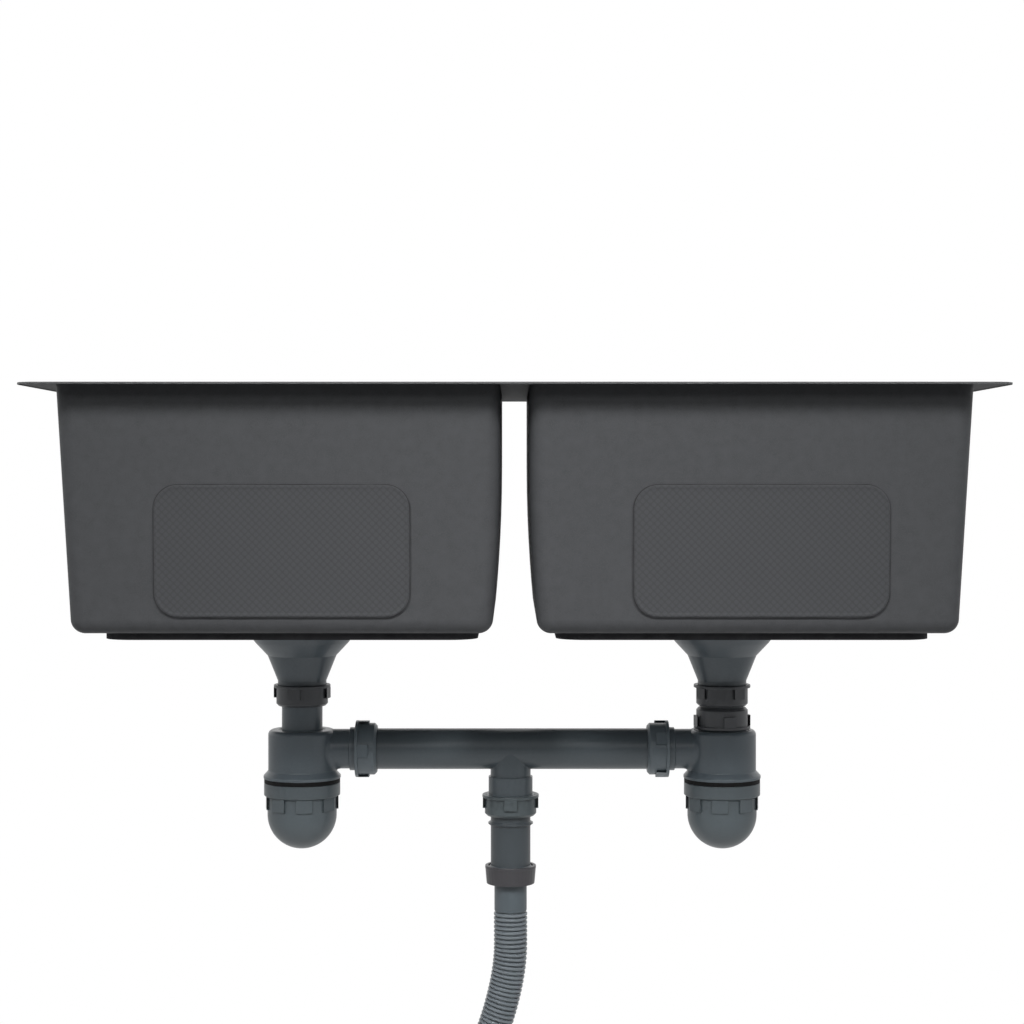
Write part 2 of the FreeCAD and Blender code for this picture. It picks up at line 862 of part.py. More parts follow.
def trap_outside(neck_radius, neck_top):
    """The outside of a trap body, from the top of its neck down to the end of its thread."""
    thread_end = -s.trap_high - s.cup_thread_long
    return [
        (0, neck_top),
        (neck_radius, neck_top),
        (neck_radius, 0),
        (s.trap_radius, 0),
        (s.trap_radius, -s.trap_flare_top),
        (s.trap_flange_radius, -s.trap_flare_base),
        (s.trap_flange_radius, -s.trap_high),
        (s.cup_thread_radius, -s.trap_high),
        (s.cup_thread_radius, thread_end),
        (0, thread_end),
    ]


def make_trap_body(name, side):
    """A moulded trap body. The left one carries a plain neck, the right one a threaded inlet."""
    body = new_body(name + "_trap_body")
    plain_neck = side < 0
    neck_radius = s.pipe_radius if plain_neck else s.thread_radius
    neck_bore = pipe_bore if plain_neck else socket_radius
    nut_z = inlet_thread_z + s.pipe_insert if plain_neck else trap_nut_z + s.nut_grip
    neck_top = nut_z - trap_z
    solid = turned(body, trap_outside(neck_radius, neck_top))
    filleted(body, solid, s.trap_shoulder_round, ring_at(s.trap_radius, 0))
    inward = -side
    for radius, start, end in (
        (s.arm_radius, as_size(0), s.arm_collar_start),
        (s.arm_collar_radius, s.arm_collar_start, s.arm_reach - s.slide_gap),
        (s.thread_radius, s.arm_reach - s.slide_gap, arm_thread_end),
    ):
        ring = disc(sketch_on(body, "YZ_Plane", start * inward), radius, 0, -s.arm_drop)
        padded(body, ring, end - start, backwards=inward < 0)
    inside = s.trap_radius - s.trap_wall
    thread_end = -s.trap_high - s.cup_thread_long
    bored(
        body,
        [
            (0, neck_top + BEYOND),
            (neck_bore, neck_top + BEYOND),
            (neck_bore, -s.trap_roof),
            (inside, -s.trap_roof),
            (inside, thread_end - BEYOND),
            (0, thread_end - BEYOND),
        ],
    )
    channel = disc(sketch_on(body, "YZ_Plane"), s.arm_bore, 0, -s.arm_drop)
    pocketed(body, channel, arm_thread_end - s.socket_deep, backwards=inward > 0)
    socket = sketch_on(body, "YZ_Plane", (arm_thread_end - s.socket_deep) * inward)
    disc(socket, socket_radius, 0, -s.arm_drop)
    pocketed(body, socket, s.socket_deep * 2, backwards=inward > 0)
    placed(body, drain_x(side), s.drain_back, trap_z)


def make_dip_tube():
    """The tube under the left trap's neck that carries the water below its level in the cup."""
    body = new_body("left_dip_tube")
    outer, inner = s.dip_radius, s.dip_radius - s.dip_wall
    roof = -s.trap_roof
    turned(
        body,
        [
            (inner, -s.dip_end_drop),
            (outer, -s.dip_end_drop),
            (outer, roof - s.dip_collar_high),
            (s.dip_collar, roof - s.dip_collar_high),
            (s.dip_collar, roof),
            (outer, roof),
            (outer, s.trap_roof),
            (inner, s.trap_roof),
        ],
    )
    placed(body, drain_x(-1), s.drain_back, trap_z)


def make_inlet_tube():
    """The sliding tube of the right trap, which reaches from the funnel down into the cup."""
    body = new_body("right_inlet_tube")
    top = inlet_thread_z + s.pipe_insert
    end = trap_z - s.dip_end_drop
    turned(
        body,
        [(pipe_bore, end - top), (s.pipe_radius, end - top), (s.pipe_radius, 0), (pipe_bore, 0)],
    )
    placed(body, drain_x(1), s.drain_back, top)


def make_cup(name, side):
    """A screw-on cup: threaded ring, lugs for the hand and a round bottom."""
    body = new_body(name + "_trap_cup")
    ring_base = -s.cup_ring_high
    turned(
        body,
        [
            (0, -s.cup_centre_drop),
            (s.cup_radius, -s.cup_centre_drop),
            (s.cup_radius, ring_base - s.cup_ring_step),
            (s.cup_ring_radius, ring_base),
            (s.cup_ring_radius, 0),
            (0, 0),
        ],
    )
    bowl = body.newObject("PartDesign::AdditiveSphere", body.Label + "_bottom")
    lower_half(bowl, s.cup_radius)
    lug = sketch_on(body, "XY_Plane", ring_base - s.cup_ring_step / 2)
    half = s.cup_lug_width / 2
    inner, outer = s.cup_radius - ROOTED, s.cup_lug_radius
    outline(lug, [(inner, -half), (outer, -half), (outer, half), (inner, half)])
    lug_long = s.cup_centre_drop - s.cup_ring_high - s.cup_ring_step / 2
    grip = padded(body, lug, lug_long, backwards=True)
    repeated(body, grip, s.cup_lug_count)
    thread = s.cup_thread_radius + s.slide_gap
    inside = s.cup_radius - s.cup_wall
    thread_base = s.gasket_thick + s.slide_gap - s.cup_thread_long - s.trap_clearance
    low, deep = inside * CUP_LOW, inside * CUP_DEEP
    bored(
        body,
        [
            (0, BEYOND),
            (thread, BEYOND),
            (thread, thread_base),
            (inside, thread_base),
            (inside, -s.cup_centre_drop),
            (deep, -s.cup_centre_drop - low),
            (low, -s.cup_centre_drop - deep),
            (0, -s.cup_centre_drop - inside),
        ],
    )
    placed(body, drain_x(side), s.drain_back, cup_z)


def lower_half(sphere, radius):
    sphere.AttachmentSupport = [(origin_of(sphere.getParentGeoFeatureGroup(), "XY_Plane"), "")]
    sphere.MapMode = "FlatFace"
    bind(sphere, "AttachmentOffset.Base.z", -s.cup_centre_drop)
    bind(sphere, "Radius", radius)
    sphere.Angle1 = -90
    sphere.Angle2 = 0


# Cross pipe, branch and tube


def make_cross_pipe():
    """One moulding: the pipe between the traps and the branch that drops from it."""
    body = new_body("cross_pipe")
    start = s.drain_shift - pipe_end_x - s.branch_shift
    long = pipe_end_x * 2
    padded(body, disc(sketch_on(body, "YZ_Plane", start), s.pipe_radius), long)
    for radius, top, base in (
        (s.branch_radius, as_size(0), s.branch_neck),
        (s.branch_band_radius, s.branch_neck, s.branch_long - s.nut_grip),
        (s.thread_radius, s.branch_long - s.nut_grip, s.branch_long),
    ):
        padded(body, disc(sketch_on(body, "XY_Plane", -top), radius), base - top, backwards=True)
    pocketed(body, disc(sketch_on(body, "YZ_Plane", start), pipe_bore), long, backwards=True)
    pocketed(body, disc(sketch_on(body, "XY_Plane"), s.branch_radius - s.pipe_wall), s.branch_long)
    socket = disc(sketch_on(body, "XY_Plane", -s.branch_long), socket_radius)
    pocketed(body, socket, s.socket_deep, backwards=True)
    placed(body, s.branch_shift, s.drain_back, arm_z)


def make_drop_tube():
    """The tube under the branch, with a bead near its top and a thread at its foot."""
    body = new_body("drop_tube")
    outer, inner = s.tube_radius, s.tube_radius - s.pipe_wall
    bead_top, bead_base = -s.bead_drop, -s.bead_drop - s.bead_high
    thread_top = s.tube_thread_long - s.tube_long
    turned(
        body,
        [
            (inner, -s.tube_long),
            (s.tube_thread_radius, -s.tube_long),
            (s.tube_thread_radius, thread_top),
            (outer, thread_top + s.thread_runout),
            (outer, bead_base),
            (s.bead_radius, bead_base + s.bead_round),
            (s.bead_radius, bead_top - s.bead_round),
            (outer, bead_top),
            (outer, 0),
            (inner, 0),
        ],
    )
    placed(body, s.branch_shift, s.drain_back, tube_z)


def make_hose_nut():
    body = new_body("hose_nut")
    thread = s.tube_thread_radius + s.slide_gap
    hole = s.hose_radius + s.slide_gap
    plain = thread + s.hose_nut_wall
    shoulder = -s.hose_nut_rise - s.hose_washer_high - s.hose_collar_high - s.slide_gap
    turned(
        body,
        [
            (thread, 0),
            (s.hose_nut_radius, 0),
            (s.hose_nut_radius, -s.hose_nut_flange),
            (plain, -s.hose_nut_flange),
            (plain - s.hose_nut_taper, -s.hose_nut_high),
            (hole, -s.hose_nut_high),
            (hole, shoulder),
            (thread, shoulder),
        ],
    )
    placed(body, s.branch_shift, s.drain_back, hose_nut_z)


# Hose: straight runs joined by tangent arcs


class Route:
    """A path of straight runs and tangent arcs that can be read at any distance along it."""

    def __init__(self, corners):
        points = [FreeCAD.Vector(*corner) for corner in corners]
        self.pieces = []
        self.radii = []
        here = points[0]
        for before, corner, after in zip(points, points[1:], points[2:]):
            into = (corner - before).normalize()
            away = (after - corner).normalize()
            half = into.getAngle(away) / 2
            if half < STRAIGHT:
                continue
            trim = TRIM_SHARE * min((corner - before).Length, (after - corner).Length)
            first, last = corner - into * trim, corner + away * trim
            radius = trim / math.tan(half)
            self.radii.append(radius)
            self.pieces.append(Part.LineSegment(here, first).toShape())
            to_centre = (away - into).normalize() * (radius / math.cos(half))
            middle = corner + to_centre - (away - into).normalize() * radius
            self.pieces.append(Part.Arc(first, middle, last).toShape())
            here = last
        self.pieces.append(Part.LineSegment(here, points[-1]).toShape())
        self.length = sum(piece.Length for piece in self.pieces)

    def at(self, distance):
        """The point and the direction at a distance from the start."""
        for piece in self.pieces:
            if distance <= piece.Length or piece is self.pieces[-1]:
                break
            distance -= piece.Length
        place = piece.getParameterByLength(min(distance, piece.Length))
        return piece.valueAt(place), piece.tangentAt(place)

    def ring(self, distance, radius):
        """A circle square to the route, whose seam keeps to one side."""
        point, direction = self.at(distance)
        circle = Part.Circle(point, direction, float(radius))
        circle.XAxis = ALONG_Y
        return Part.Wire(circle.toShape())


def hose_rings(route):
    """The hose's outside as (distance, radius) pairs: collar, cuff, ribs and end cuff."""
    plain = float(s.hose_radius)
    collar, collar_high = float(s.hose_collar_radius), float(s.hose_collar_high)
    pitch, step = float(s.rib_pitch), float(s.hose_step)
    rings = [(0, collar), (collar_high - step, collar), (collar_high, plain)]
    start = float(s.hose_cuff_long)
    count = int((route.length - start - float(s.hose_end_cuff_long)) / pitch)
    radii = (float(s.rib_valley), float(s.rib_valley), float(s.rib_crest), float(s.rib_crest))
    rings.append((start - step, plain))
    for rib in range(count):
        rings += [(start + (rib + share) * pitch, r) for share, r in zip(RIB_SHARES, radii)]
    end = start + count * pitch
    rings += [(end, radii[0]), (end + step, plain), (route.length, plain)]
    return rings, count


def make_hose():
    """The ribbed drain hose: rings of two radii along the route, with a smooth bore."""
    route = Route(HOSE_ROUTE)
    rings, count = hose_rings(route)
    outside = Part.makeLoft([route.ring(distance, radius) for distance, radius in rings], True, True)
    bore = Part.Wire(route.pieces).makePipeShell([route.ring(0, s.hose_bore)], True, False)
    expected = math.pi * float(s.hose_bore) ** 2 * route.length
    print(f"hose: {route.length:.1f} mm, {count} ribs, bend radii {[round(r) for r in route.radii]} mm")
    print(f"hose bore: volume {bore.Volume:.0f} against section times length {expected:.0f}")
    hose = doc.addObject("Part::Feature", "drain_hose")
    hose.Label = "drain_hose"
    hose.Shape = outside.cut(bore)
    hose.Placement = FreeCAD.Placement(
        FreeCAD.Vector(float(s.branch_shift), float(s.drain_back), float(hose_z)),
        FreeCAD.Rotation(),
    )
    nodes.append(hose)
    return route


def make_spigot(route):
    """The hose's end fitting: a socket for the hose that widens to a 50 mm spigot."""
    body = new_body("hose_end_spigot")
    socket = s.hose_radius + s.slide_gap
    deep = s.spigot_socket_deep
    neck, cone = s.spigot_neck_long, s.spigot_neck_long + s.spigot_cone_long
    inside = s.spigot_radius - s.spigot_wall
    turned(
        body,
        [
            (s.hose_bore, -deep),
            (s.hose_bore, -neck - BEYOND),
            (inside, -cone - BEYOND),
            (inside, -s.spigot_long),
            (s.spigot_radius, -s.spigot_long),
            (s.spigot_radius, -cone),
            (s.spigot_neck_radius, -neck),
            (s.spigot_neck_radius, 0),
            (socket, 0),
            (socket, -deep),
        ],
    )
    end, _ = route.at(route.length)
    placed(
        body,
        s.branch_shift + round(end.x, 3),
        s.drain_back + round(end.y, 3),
        hose_z + round(end.z, 3) + deep,
    )


# Everything together


def make_waste(name, side):
    """The pieces under one drain, down to the coupling below its funnel."""
    x, y = drain_x(side), s.drain_back
    make_dish(name, side)
    make_ring(name + "_rim_seal", s.drain_hole_radius, s.dish_rim_radius - 1, s.dish_seal_thick, x, y,
              seat_z + s.dish_seal_thick)
    make_ring(name + "_waste_seal", s.funnel_mouth, s.dish_rim_radius, s.waste_seal_thick, x, y, recess_z)
    make_screw(name, side)
    make_basket(name, side)
    make_ring(name + "_basket_stopper", s.stopper_inner, s.stopper_outer, s.stopper_thick, x, y,
              basket_z + s.dish_sheet + s.stopper_thick)
    make_knob(name, side)
    make_funnel(name, side)
    make_union(name + "_inlet", s.pipe_radius, x, y, inlet_nut_z, reach=-UP)


def make_trap(name, side):
    """A bottle trap with its gasket, its cup and the coupling on its side arm."""
    x, y = drain_x(side), s.drain_back
    make_trap_body(name, side)
    make_ring(name + "_cup_gasket", s.cup_thread_radius + s.slide_gap, s.gasket_radius, s.gasket_thick,
              x, y, gasket_z)
    make_cup(name, side)
    facing = FreeCAD.Rotation(ALONG_Y, 90 * side)
    make_union(name + "_arm", s.pipe_radius, x - s.arm_reach * side, y, arm_z, facing, ALONG_X * -side)


def make_everything():
    make_deck()
    for name, side in SIDES.items():
        make_bowl(name, side)
        make_wall_pad(name, side, -1)
        make_wall_pad(name, side, 1)
        make_floor_pad(name, side)
        make_waste(name, side)
        make_trap(name, side)
    make_dip_tube()
    make_inlet_tube()
    upside_down = FreeCAD.Rotation(ALONG_X, 180)
    make_union("right_trap", s.pipe_radius, drain_x(1), s.drain_back, trap_nut_z, upside_down, UP)
    make_cross_pipe()
    make_union("branch", s.tube_radius, s.branch_shift, s.drain_back, tee_nut_z, reach=-UP)
    make_drop_tube()
    make_hose_nut()
    make_ring("hose_washer", s.hose_bore, s.hose_collar_radius, s.hose_washer_high, s.branch_shift,
              s.drain_back, tube_end_z)
    make_spigot(make_hose())


CUTTING = ("PartDesign::Pocket", "PartDesign::Groove")


def check(document):
    """Stop if anything failed to build, or if a cut took nothing away."""
    for item in document.Objects:
        if {"Invalid", "Error"} & set(item.State):
            raise RuntimeError(f"{item.Label} did not build: {item.State}")
        if item.TypeId in CUTTING and item.Shape.Volume > item.BaseFeature.Shape.Volume - 1:
            raise RuntimeError(f"{item.Label} cuts nothing")
    for node in nodes:
        if node.Shape.isNull() or not node.Shape.isValid() or node.Shape.Volume <= 0:
            raise RuntimeError(f"{node.Label} has no valid shape")


make_everything()
doc.recompute()
check(doc)
os.makedirs("parts", exist_ok=True)
for node in nodes:
    node.Shape.exportStep(os.path.join("parts", node.Label + ".step"))
print(f"{len(nodes)} pieces written")
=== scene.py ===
import json
import math

import bmesh
import bpy
from mathutils import Matrix, Vector


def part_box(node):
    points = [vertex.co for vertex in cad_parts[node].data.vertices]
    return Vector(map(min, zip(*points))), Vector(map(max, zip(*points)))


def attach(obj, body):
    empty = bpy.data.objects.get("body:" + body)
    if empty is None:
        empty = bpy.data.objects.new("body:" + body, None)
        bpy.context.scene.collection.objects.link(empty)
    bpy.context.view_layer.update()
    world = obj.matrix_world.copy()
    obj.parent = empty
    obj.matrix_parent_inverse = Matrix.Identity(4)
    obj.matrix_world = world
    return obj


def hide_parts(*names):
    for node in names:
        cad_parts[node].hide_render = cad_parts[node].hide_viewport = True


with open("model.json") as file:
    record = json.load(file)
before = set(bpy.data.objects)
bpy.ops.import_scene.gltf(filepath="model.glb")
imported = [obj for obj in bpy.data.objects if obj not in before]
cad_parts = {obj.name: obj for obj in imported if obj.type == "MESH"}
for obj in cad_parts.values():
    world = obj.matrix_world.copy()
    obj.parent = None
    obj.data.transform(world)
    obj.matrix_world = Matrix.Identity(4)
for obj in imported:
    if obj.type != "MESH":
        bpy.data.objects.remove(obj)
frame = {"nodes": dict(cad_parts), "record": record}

# Looks of the double bowl sink, laid over the CAD model. Blender's lengths are metres. The
# lengths of the added pieces, apart from the hose, are written in millimetres and scaled once,
# where a mesh is made.

MM = 0.001
NODES = frame["nodes"]
UP = Vector((0, 0, 1))
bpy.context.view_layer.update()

# How the photograph was framed: the camera's place, its focal length in pixels, and the row of
# the picture that lies at the camera's own height.
PICTURE = 1024
CAMERA_PLACE = (-0.0025, -2.053, -0.0804)
FOCAL_PIXELS = 2120
LEVEL_ROW = 476
SENSOR = 36.0

# The hose's route: its control points, from the top of its bore down.
HOSE_ROUTE = [
    (-0.0039, 0.043, -0.473),
    (-0.0039, 0.043, -0.501),
    (-0.0039, 0.043, -0.583),
    (-0.0479, 0.043, -0.699),
    (-0.0479, 0.043, -0.773),
]

FLOOR_HEIGHT = -0.86


# Materials

RANGE_SOCKETS = ("From Min", "From Max", "To Min", "To Max")
LOZENGE_WIDE = 0.0066
PLASTIC_GRAIN_DEPTH = 0.00006


def linear(red, green, blue):
    """A colour given in ordinary screen values, 0 to 255, as Blender's linear values."""
    values = []
    for value in (red, green, blue):
        v = value / 255
        values.append(v / 12.92 if v <= 0.04045 else ((v + 0.055) / 1.055) ** 2.4)
    return (*values, 1.0)


class Surface:
    """A material under construction, with short ways to add and join its nodes."""

    def __init__(self, name, metallic=0.0, specular=0.5):
        self.material = bpy.data.materials.new(name)
        self.material.use_nodes = True
        self.tree = self.material.node_tree
        self.shader = self.tree.nodes["Principled BSDF"]
        self.shader.inputs["Metallic"].default_value = metallic
        self.shader.inputs["Specular IOR Level"].default_value = specular
        self.place = self.add("ShaderNodeTexCoord").outputs["Object"]

    def add(self, kind, **settings):
        node = self.tree.nodes.new(kind)
        for name, value in settings.items():
            setattr(node, name, value)
        return node

    def join(self, source, target):
        self.tree.links.new(source, target)

    def stretched(self, x, y, z):
        """The object's coordinates, scaled along each axis."""
        node = self.add("ShaderNodeMapping")
        node.inputs["Scale"].default_value = (x, y, z)
        self.join(self.place, node.inputs["Vector"])
        return node.outputs["Vector"]

    def noise(self, scale, detail=3.0, roughness=0.5, place=None):
        node = self.add("ShaderNodeTexNoise")
        node.inputs["Scale"].default_value = scale
        node.inputs["Detail"].default_value = detail
        node.inputs["Roughness"].default_value = roughness
        self.join(place or self.place, node.inputs["Vector"])
        return node.outputs["Fac"]

    def maths(self, operation, first, second=None):
        node = self.add("ShaderNodeMath", operation=operation)
        for socket, value in zip(node.inputs, (first, second)):
            if value is None:
                continue
            if isinstance(value, (int, float)):
                socket.default_value = value
            else:
                self.join(value, socket)
        return node.outputs[0]

    def spread(self, value, low, high, start=0.3, end=0.7):
        """Value, between start and end, turned into low to high."""
        node = self.add("ShaderNodeMapRange")
        for name, number in zip(RANGE_SOCKETS, (start, end, low, high)):
            node.inputs[name].default_value = number
        self.join(value, node.inputs["Value"])
        return node.outputs["Result"]

    def blend(self, factor, first, second):
        """A colour between two others."""
        node = self.add("ShaderNodeMix", data_type="RGBA")
        self.join(factor, node.inputs["Factor"])
        for socket, colour in ((node.inputs[6], first), (node.inputs[7], second)):
            if isinstance(colour, tuple):
                socket.default_value = colour
            else:
                self.join(colour, socket)
        return node.outputs[2]

    def colour(self, socket):
        self.join(socket, self.shader.inputs["Base Color"])

    def roughness(self, socket):
        self.join(socket, self.shader.inputs["Roughness"])

    def bump(self, height, depth, strength=1.0):
        """Raise the surface by a height of 0 to 1 times depth, in metres."""
        node = self.add("ShaderNodeBump")
        node.inputs["Distance"].default_value = depth
        node.inputs["Strength"].default_value = strength
        self.join(height, node.inputs["Height"])
        self.join(node.outputs["Normal"], self.shader.inputs["Normal"])


def shade(colour, factor):
    return (*(channel * factor for channel in colour[:3]), 1.0)


def coated_steel(name="coated_steel", tone=(70, 71, 73), specular=0.18):
    """Satin dark coating over pressed steel: a soft mottle with a fine speckle in it."""
    surface = Surface(name, metallic=0.05, specular=specular)
    base = linear(*tone)
    mottle = surface.spread(surface.noise(110, detail=4), 0, 1)
    speckle = surface.spread(surface.noise(1400, detail=2), 0, 1, 0.42, 0.68)
    soft = surface.blend(mottle, shade(base, 0.9), shade(base, 1.1))
    surface.colour(surface.blend(speckle, soft, shade(base, 1.16)))
    surface.roughness(surface.spread(surface.noise(240), 0.46, 0.56))
    surface.bump(surface.noise(1700, detail=2), 0.00012, 0.35)
    return surface.material


def wall_pad_rubber():
    """Sound-deadening pad: crossing grooves that leave small lozenges, over a fine grain."""
    surface = Surface("wall_pad_rubber", specular=0.15)
    base = linear(69, 70, 72)
    split = surface.add("ShaderNodeSeparateXYZ")
    surface.join(surface.place, split.inputs["Vector"])
    across, height = split.outputs["X"], split.outputs["Z"]
    waves = []
    for operation in ("ADD", "SUBTRACT"):
        along = surface.maths(operation, across, height)
        turned = surface.maths("MULTIPLY", along, math.pi / LOZENGE_WIDE)
        waves.append(surface.maths("SINE", turned))
    lozenge = surface.maths("ABSOLUTE", surface.maths("MULTIPLY", *waves))
    raised_and_groove_shade = surface.spread(lozenge, 0, 1, 0.05, 0.5)
    grain = surface.spread(surface.noise(900), 0, 0.25)
    # The grooves are painted darker than the lozenges: painted shade in the grooves, on top of the
    # real bump.
    surface.colour(surface.blend(raised_and_groove_shade, shade(base, 0.9), shade(base, 1.04)))
    surface.roughness(surface.spread(surface.noise(300), 0.58, 0.72))
    surface.bump(surface.maths("ADD", raised_and_groove_shade, grain), 0.00025, 0.5)
    return surface.material


def floor_pad_rubber():
    """Heavy black mat under the bowls."""
    surface = Surface("floor_pad_rubber", specular=0.2)
    base = linear(58, 58, 60)
    cloud = surface.spread(surface.noise(60, detail=4), 0, 1)
    surface.colour(surface.blend(cloud, shade(base, 0.8), shade(base, 1.2)))
    surface.roughness(surface.spread(surface.noise(200), 0.75, 0.9))
    surface.bump(surface.noise(700, detail=4), 0.0005, 0.5)
    return surface.material


def moulded_plastic(name, base, rough=0.3):
    """Satin moulded plastic: faint flow marks, a fine grain and slightly uneven gloss."""
    surface = Surface(name, specular=0.5)
    flow = surface.spread(surface.noise(34, detail=3, place=surface.stretched(1, 1, 0.35)), 0, 1)
    dust = surface.spread(surface.noise(420, detail=1), 0, 1, 0.3, 0.8)
    soft = surface.blend(flow, shade(base, 0.95), shade(base, 1.03))
    surface.colour(surface.blend(dust, soft, shade(base, 1.06)))
    surface.roughness(surface.spread(surface.noise(60, detail=1), rough - 0.02, rough + 0.03))
    surface.bump(surface.noise(900, detail=1), PLASTIC_GRAIN_DEPTH, 0.15)
    return surface.material


def brushed_steel():
    """Bright steel with fine round-about brushing."""
    surface = Surface("strainer_steel", metallic=1.0, specular=0.5)
    base = linear(186, 187, 189)
    brushing = surface.noise(90, detail=5, roughness=0.7, place=surface.stretched(1, 1, 30))
    lines = surface.spread(brushing, 0, 1)
    surface.colour(surface.blend(lines, shade(base, 0.85), shade(base, 1.05)))
    surface.roughness(surface.spread(brushing, 0.22, 0.4))
    surface.bump(brushing, 0.00006, 0.4)
    return surface.material


def seal_rubber():
    """Black rubber of the seals, gaskets and stoppers, with a faint bloom."""
    surface = Surface("seal_rubber", specular=0.2)
    base = linear(13, 13, 14)
    bloom = surface.spread(surface.noise(180, detail=4), 0, 1)
    surface.colour(surface.blend(bloom, shade(base, 0.8), shade(base, 1.4)))
    surface.roughness(surface.spread(surface.noise(300), 0.6, 0.78))
    surface.bump(surface.noise(1100), 0.0001, 0.4)
    return surface.material


MATERIALS = {
    "coated_steel": coated_steel(),
    "deck_steel": coated_steel("deck_steel", specular=0.03),
    # The lip is the deck's coating in a lighter tone: a painted highlight along the rim's edge.
    "rim_edge_painted_highlight": coated_steel("rim_edge_painted_highlight", (96, 97, 98), specular=0.1),
    "wall_pad": wall_pad_rubber(),
    "floor_pad": floor_pad_rubber(),
    "strainer_steel": brushed_steel(),
    "seal_rubber": seal_rubber(),
    "pipe_plastic": moulded_plastic("pipe_plastic", linear(80, 88, 93)),
    # The trap bodies and funnels take the plastic in a lighter tone, making up for the bowls' shade
    # over them: painted light.
    "trap_plastic": moulded_plastic("trap_plastic", linear(88, 97, 103)),
    # The drop tube is the pipes' plastic painted darker: painted shade over the middle of the
    # pipework.
    "tube_plastic_painted_shade": moulded_plastic("tube_plastic_painted_shade", linear(60, 66, 70)),
    "cup_plastic": moulded_plastic("cup_plastic", linear(78, 86, 90)),
    "nut_plastic": moulded_plastic("nut_plastic", linear(80, 82, 85), rough=0.34),
    # The arm nuts are the nuts' plastic painted lighter, making up for the bowls' shade over them:
    # painted light.
    "arm_nut_plastic_painted_light": moulded_plastic("arm_nut_plastic_painted_light", linear(98, 108, 114), rough=0.34),
    # The branch nut is the nuts' plastic painted darker: painted shade over the middle of the
    # pipework.
    "tee_nut_plastic_painted_shade": moulded_plastic("tee_nut_plastic_painted_shade", linear(74, 82, 85), rough=0.34),
    # The hose nut is the nuts' plastic painted darker: painted shade over the middle of the
    # pipework.
    "hose_nut_plastic_painted_shade": moulded_plastic("hose_nut_plastic_painted_shade", linear(57, 56, 59), rough=0.36),
    # Cuffs and ribbed hose are one plastic; the ribbed length is painted lighter: a painted
    # highlight for its rib crests.
    "cuff_plastic": moulded_plastic("cuff_plastic", linear(75, 83, 88), rough=0.36),
    "hose_plastic": moulded_plastic("hose_plastic", linear(102, 109, 114), rough=0.36),
}


def dress_cad():
    """Give every CAD node the material of its slot; the deck's is a duller steel."""
    for part in frame["record"]["subparts"]:
        piece = NODES[part["node"]]
        for place in piece.material_slots:
            place.material = MATERIALS[part["material_slot"]]
    NODES["deck"].material_slots[0].material = MATERIALS["deck_steel"]


# Meshes

SHARP_ANGLE = math.radians(32)
ROUND_STEPS, COARSE_STEPS, HUB_STEPS, KNURL_STEPS = 128, 96, 48, 288


def rounded_outline(corners, fineness=5):
    """Corners (radius, height, rounding) in millimetres, with each rounding drawn as an arc."""
    points = []
    for i, (x, z, rounding) in enumerate(corners):
        here = Vector((x, z))
        if not rounding:
            points.append(here)
            continue
        into = (here - Vector(corners[i - 1][:2])).normalized()
        away = (Vector(corners[(i + 1) % len(corners)][:2]) - here).normalized()
        turn = math.atan2(into.x * away.y - into.y * away.x, into.dot(away))
        start = here - into * rounding * math.tan(abs(turn) / 2)
        side = Vector((-into.y, into.x)) * math.copysign(rounding, turn)
        spoke = start - (start + side)
        for step in range(fineness + 1):
            angle = turn * step / fineness
            turned_spoke = Vector((
                spoke.x * math.cos(angle) - spoke.y * math.sin(angle),
                spoke.x * math.sin(angle) + spoke.y * math.cos(angle),
            ))
            points.append(start + side + turned_spoke)
    return points


def woven(rings, closed=True):
    """Vertices and faces of a surface through equal rings; closed joins the last to the first."""
    vertices = [point for ring in rings for point in ring]
    across = len(rings[0])
    faces = []
    for i in range(len(rings) if closed else len(rings) - 1):
        j = (i + 1) % len(rings)
        for k in range(across):
            m = (k + 1) % across
            faces.append((i * across + k, i * across + m, j * across + m, j * across + k))
    return vertices, faces


def lathe_rings(outline, steps, shape=None):
    """An outline turned about the Z axis; shape may change the radius by height and angle."""
    rings = []
    for point in outline:
        ring = []
        for step in range(steps):
            angle = 2 * math.pi * step / steps
            radius = shape(point.x, point.y, angle) if shape else point.x
            ring.append(Vector((radius * math.cos(angle), radius * math.sin(angle), point.y)))
        rings.append(ring)
    return rings


def make_piece(name, shells, matrix, material, body, nodes):
    """One mesh object from (vertices, faces) shells in millimetres."""
    mesh = bpy.data.meshes.new(name)
    vertices, faces = [], []
    for points, loops in shells:
        start = len(vertices)
        vertices += [matrix @ (point * MM) for point in points]
        faces += [tuple(start + index for index in loop) for loop in loops]
    mesh.from_pydata(vertices, [], faces)
    tidy_mesh(mesh)
    piece = bpy.data.objects.new(name, mesh)
    bpy.context.scene.collection.objects.link(piece)
    weighted = piece.modifiers.new("even_shading", "WEIGHTED_NORMAL")
    weighted.keep_sharp = True
    mesh.materials.append(MATERIALS[material])
    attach(piece, body)
    if nodes:
        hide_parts(*nodes)
    return piece


def tidy_mesh(mesh):
    """Merge doubled points, face everything outwards and shade it smooth up to real edges."""
    work = bmesh.new()
    work.from_mesh(mesh)
    bmesh.ops.remove_doubles(work, verts=work.verts, dist=1e-6)
    bmesh.ops.dissolve_degenerate(work, edges=work.edges, dist=1e-6)
    bmesh.ops.recalc_face_normals(work, faces=work.faces)
    for face in work.faces:
        face.smooth = True
    work.to_mesh(mesh)
    work.free()
    mesh.set_sharp_from_angle(angle=SHARP_ANGLE)


def body_of(node):
    bodies = frame["record"]["behaviour"]["bodies"]
    return next(name for name, members in bodies.items() if node in members)


def slot_of(node):
    parts = frame["record"]["subparts"]
    return next(part["material_slot"] for part in parts if part["node"] == node)


def box_facts(node):
    """The middle and the size of a node's box."""
    low, high = (Vector(corner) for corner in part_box(node))
    return (low + high) / 2, high - low


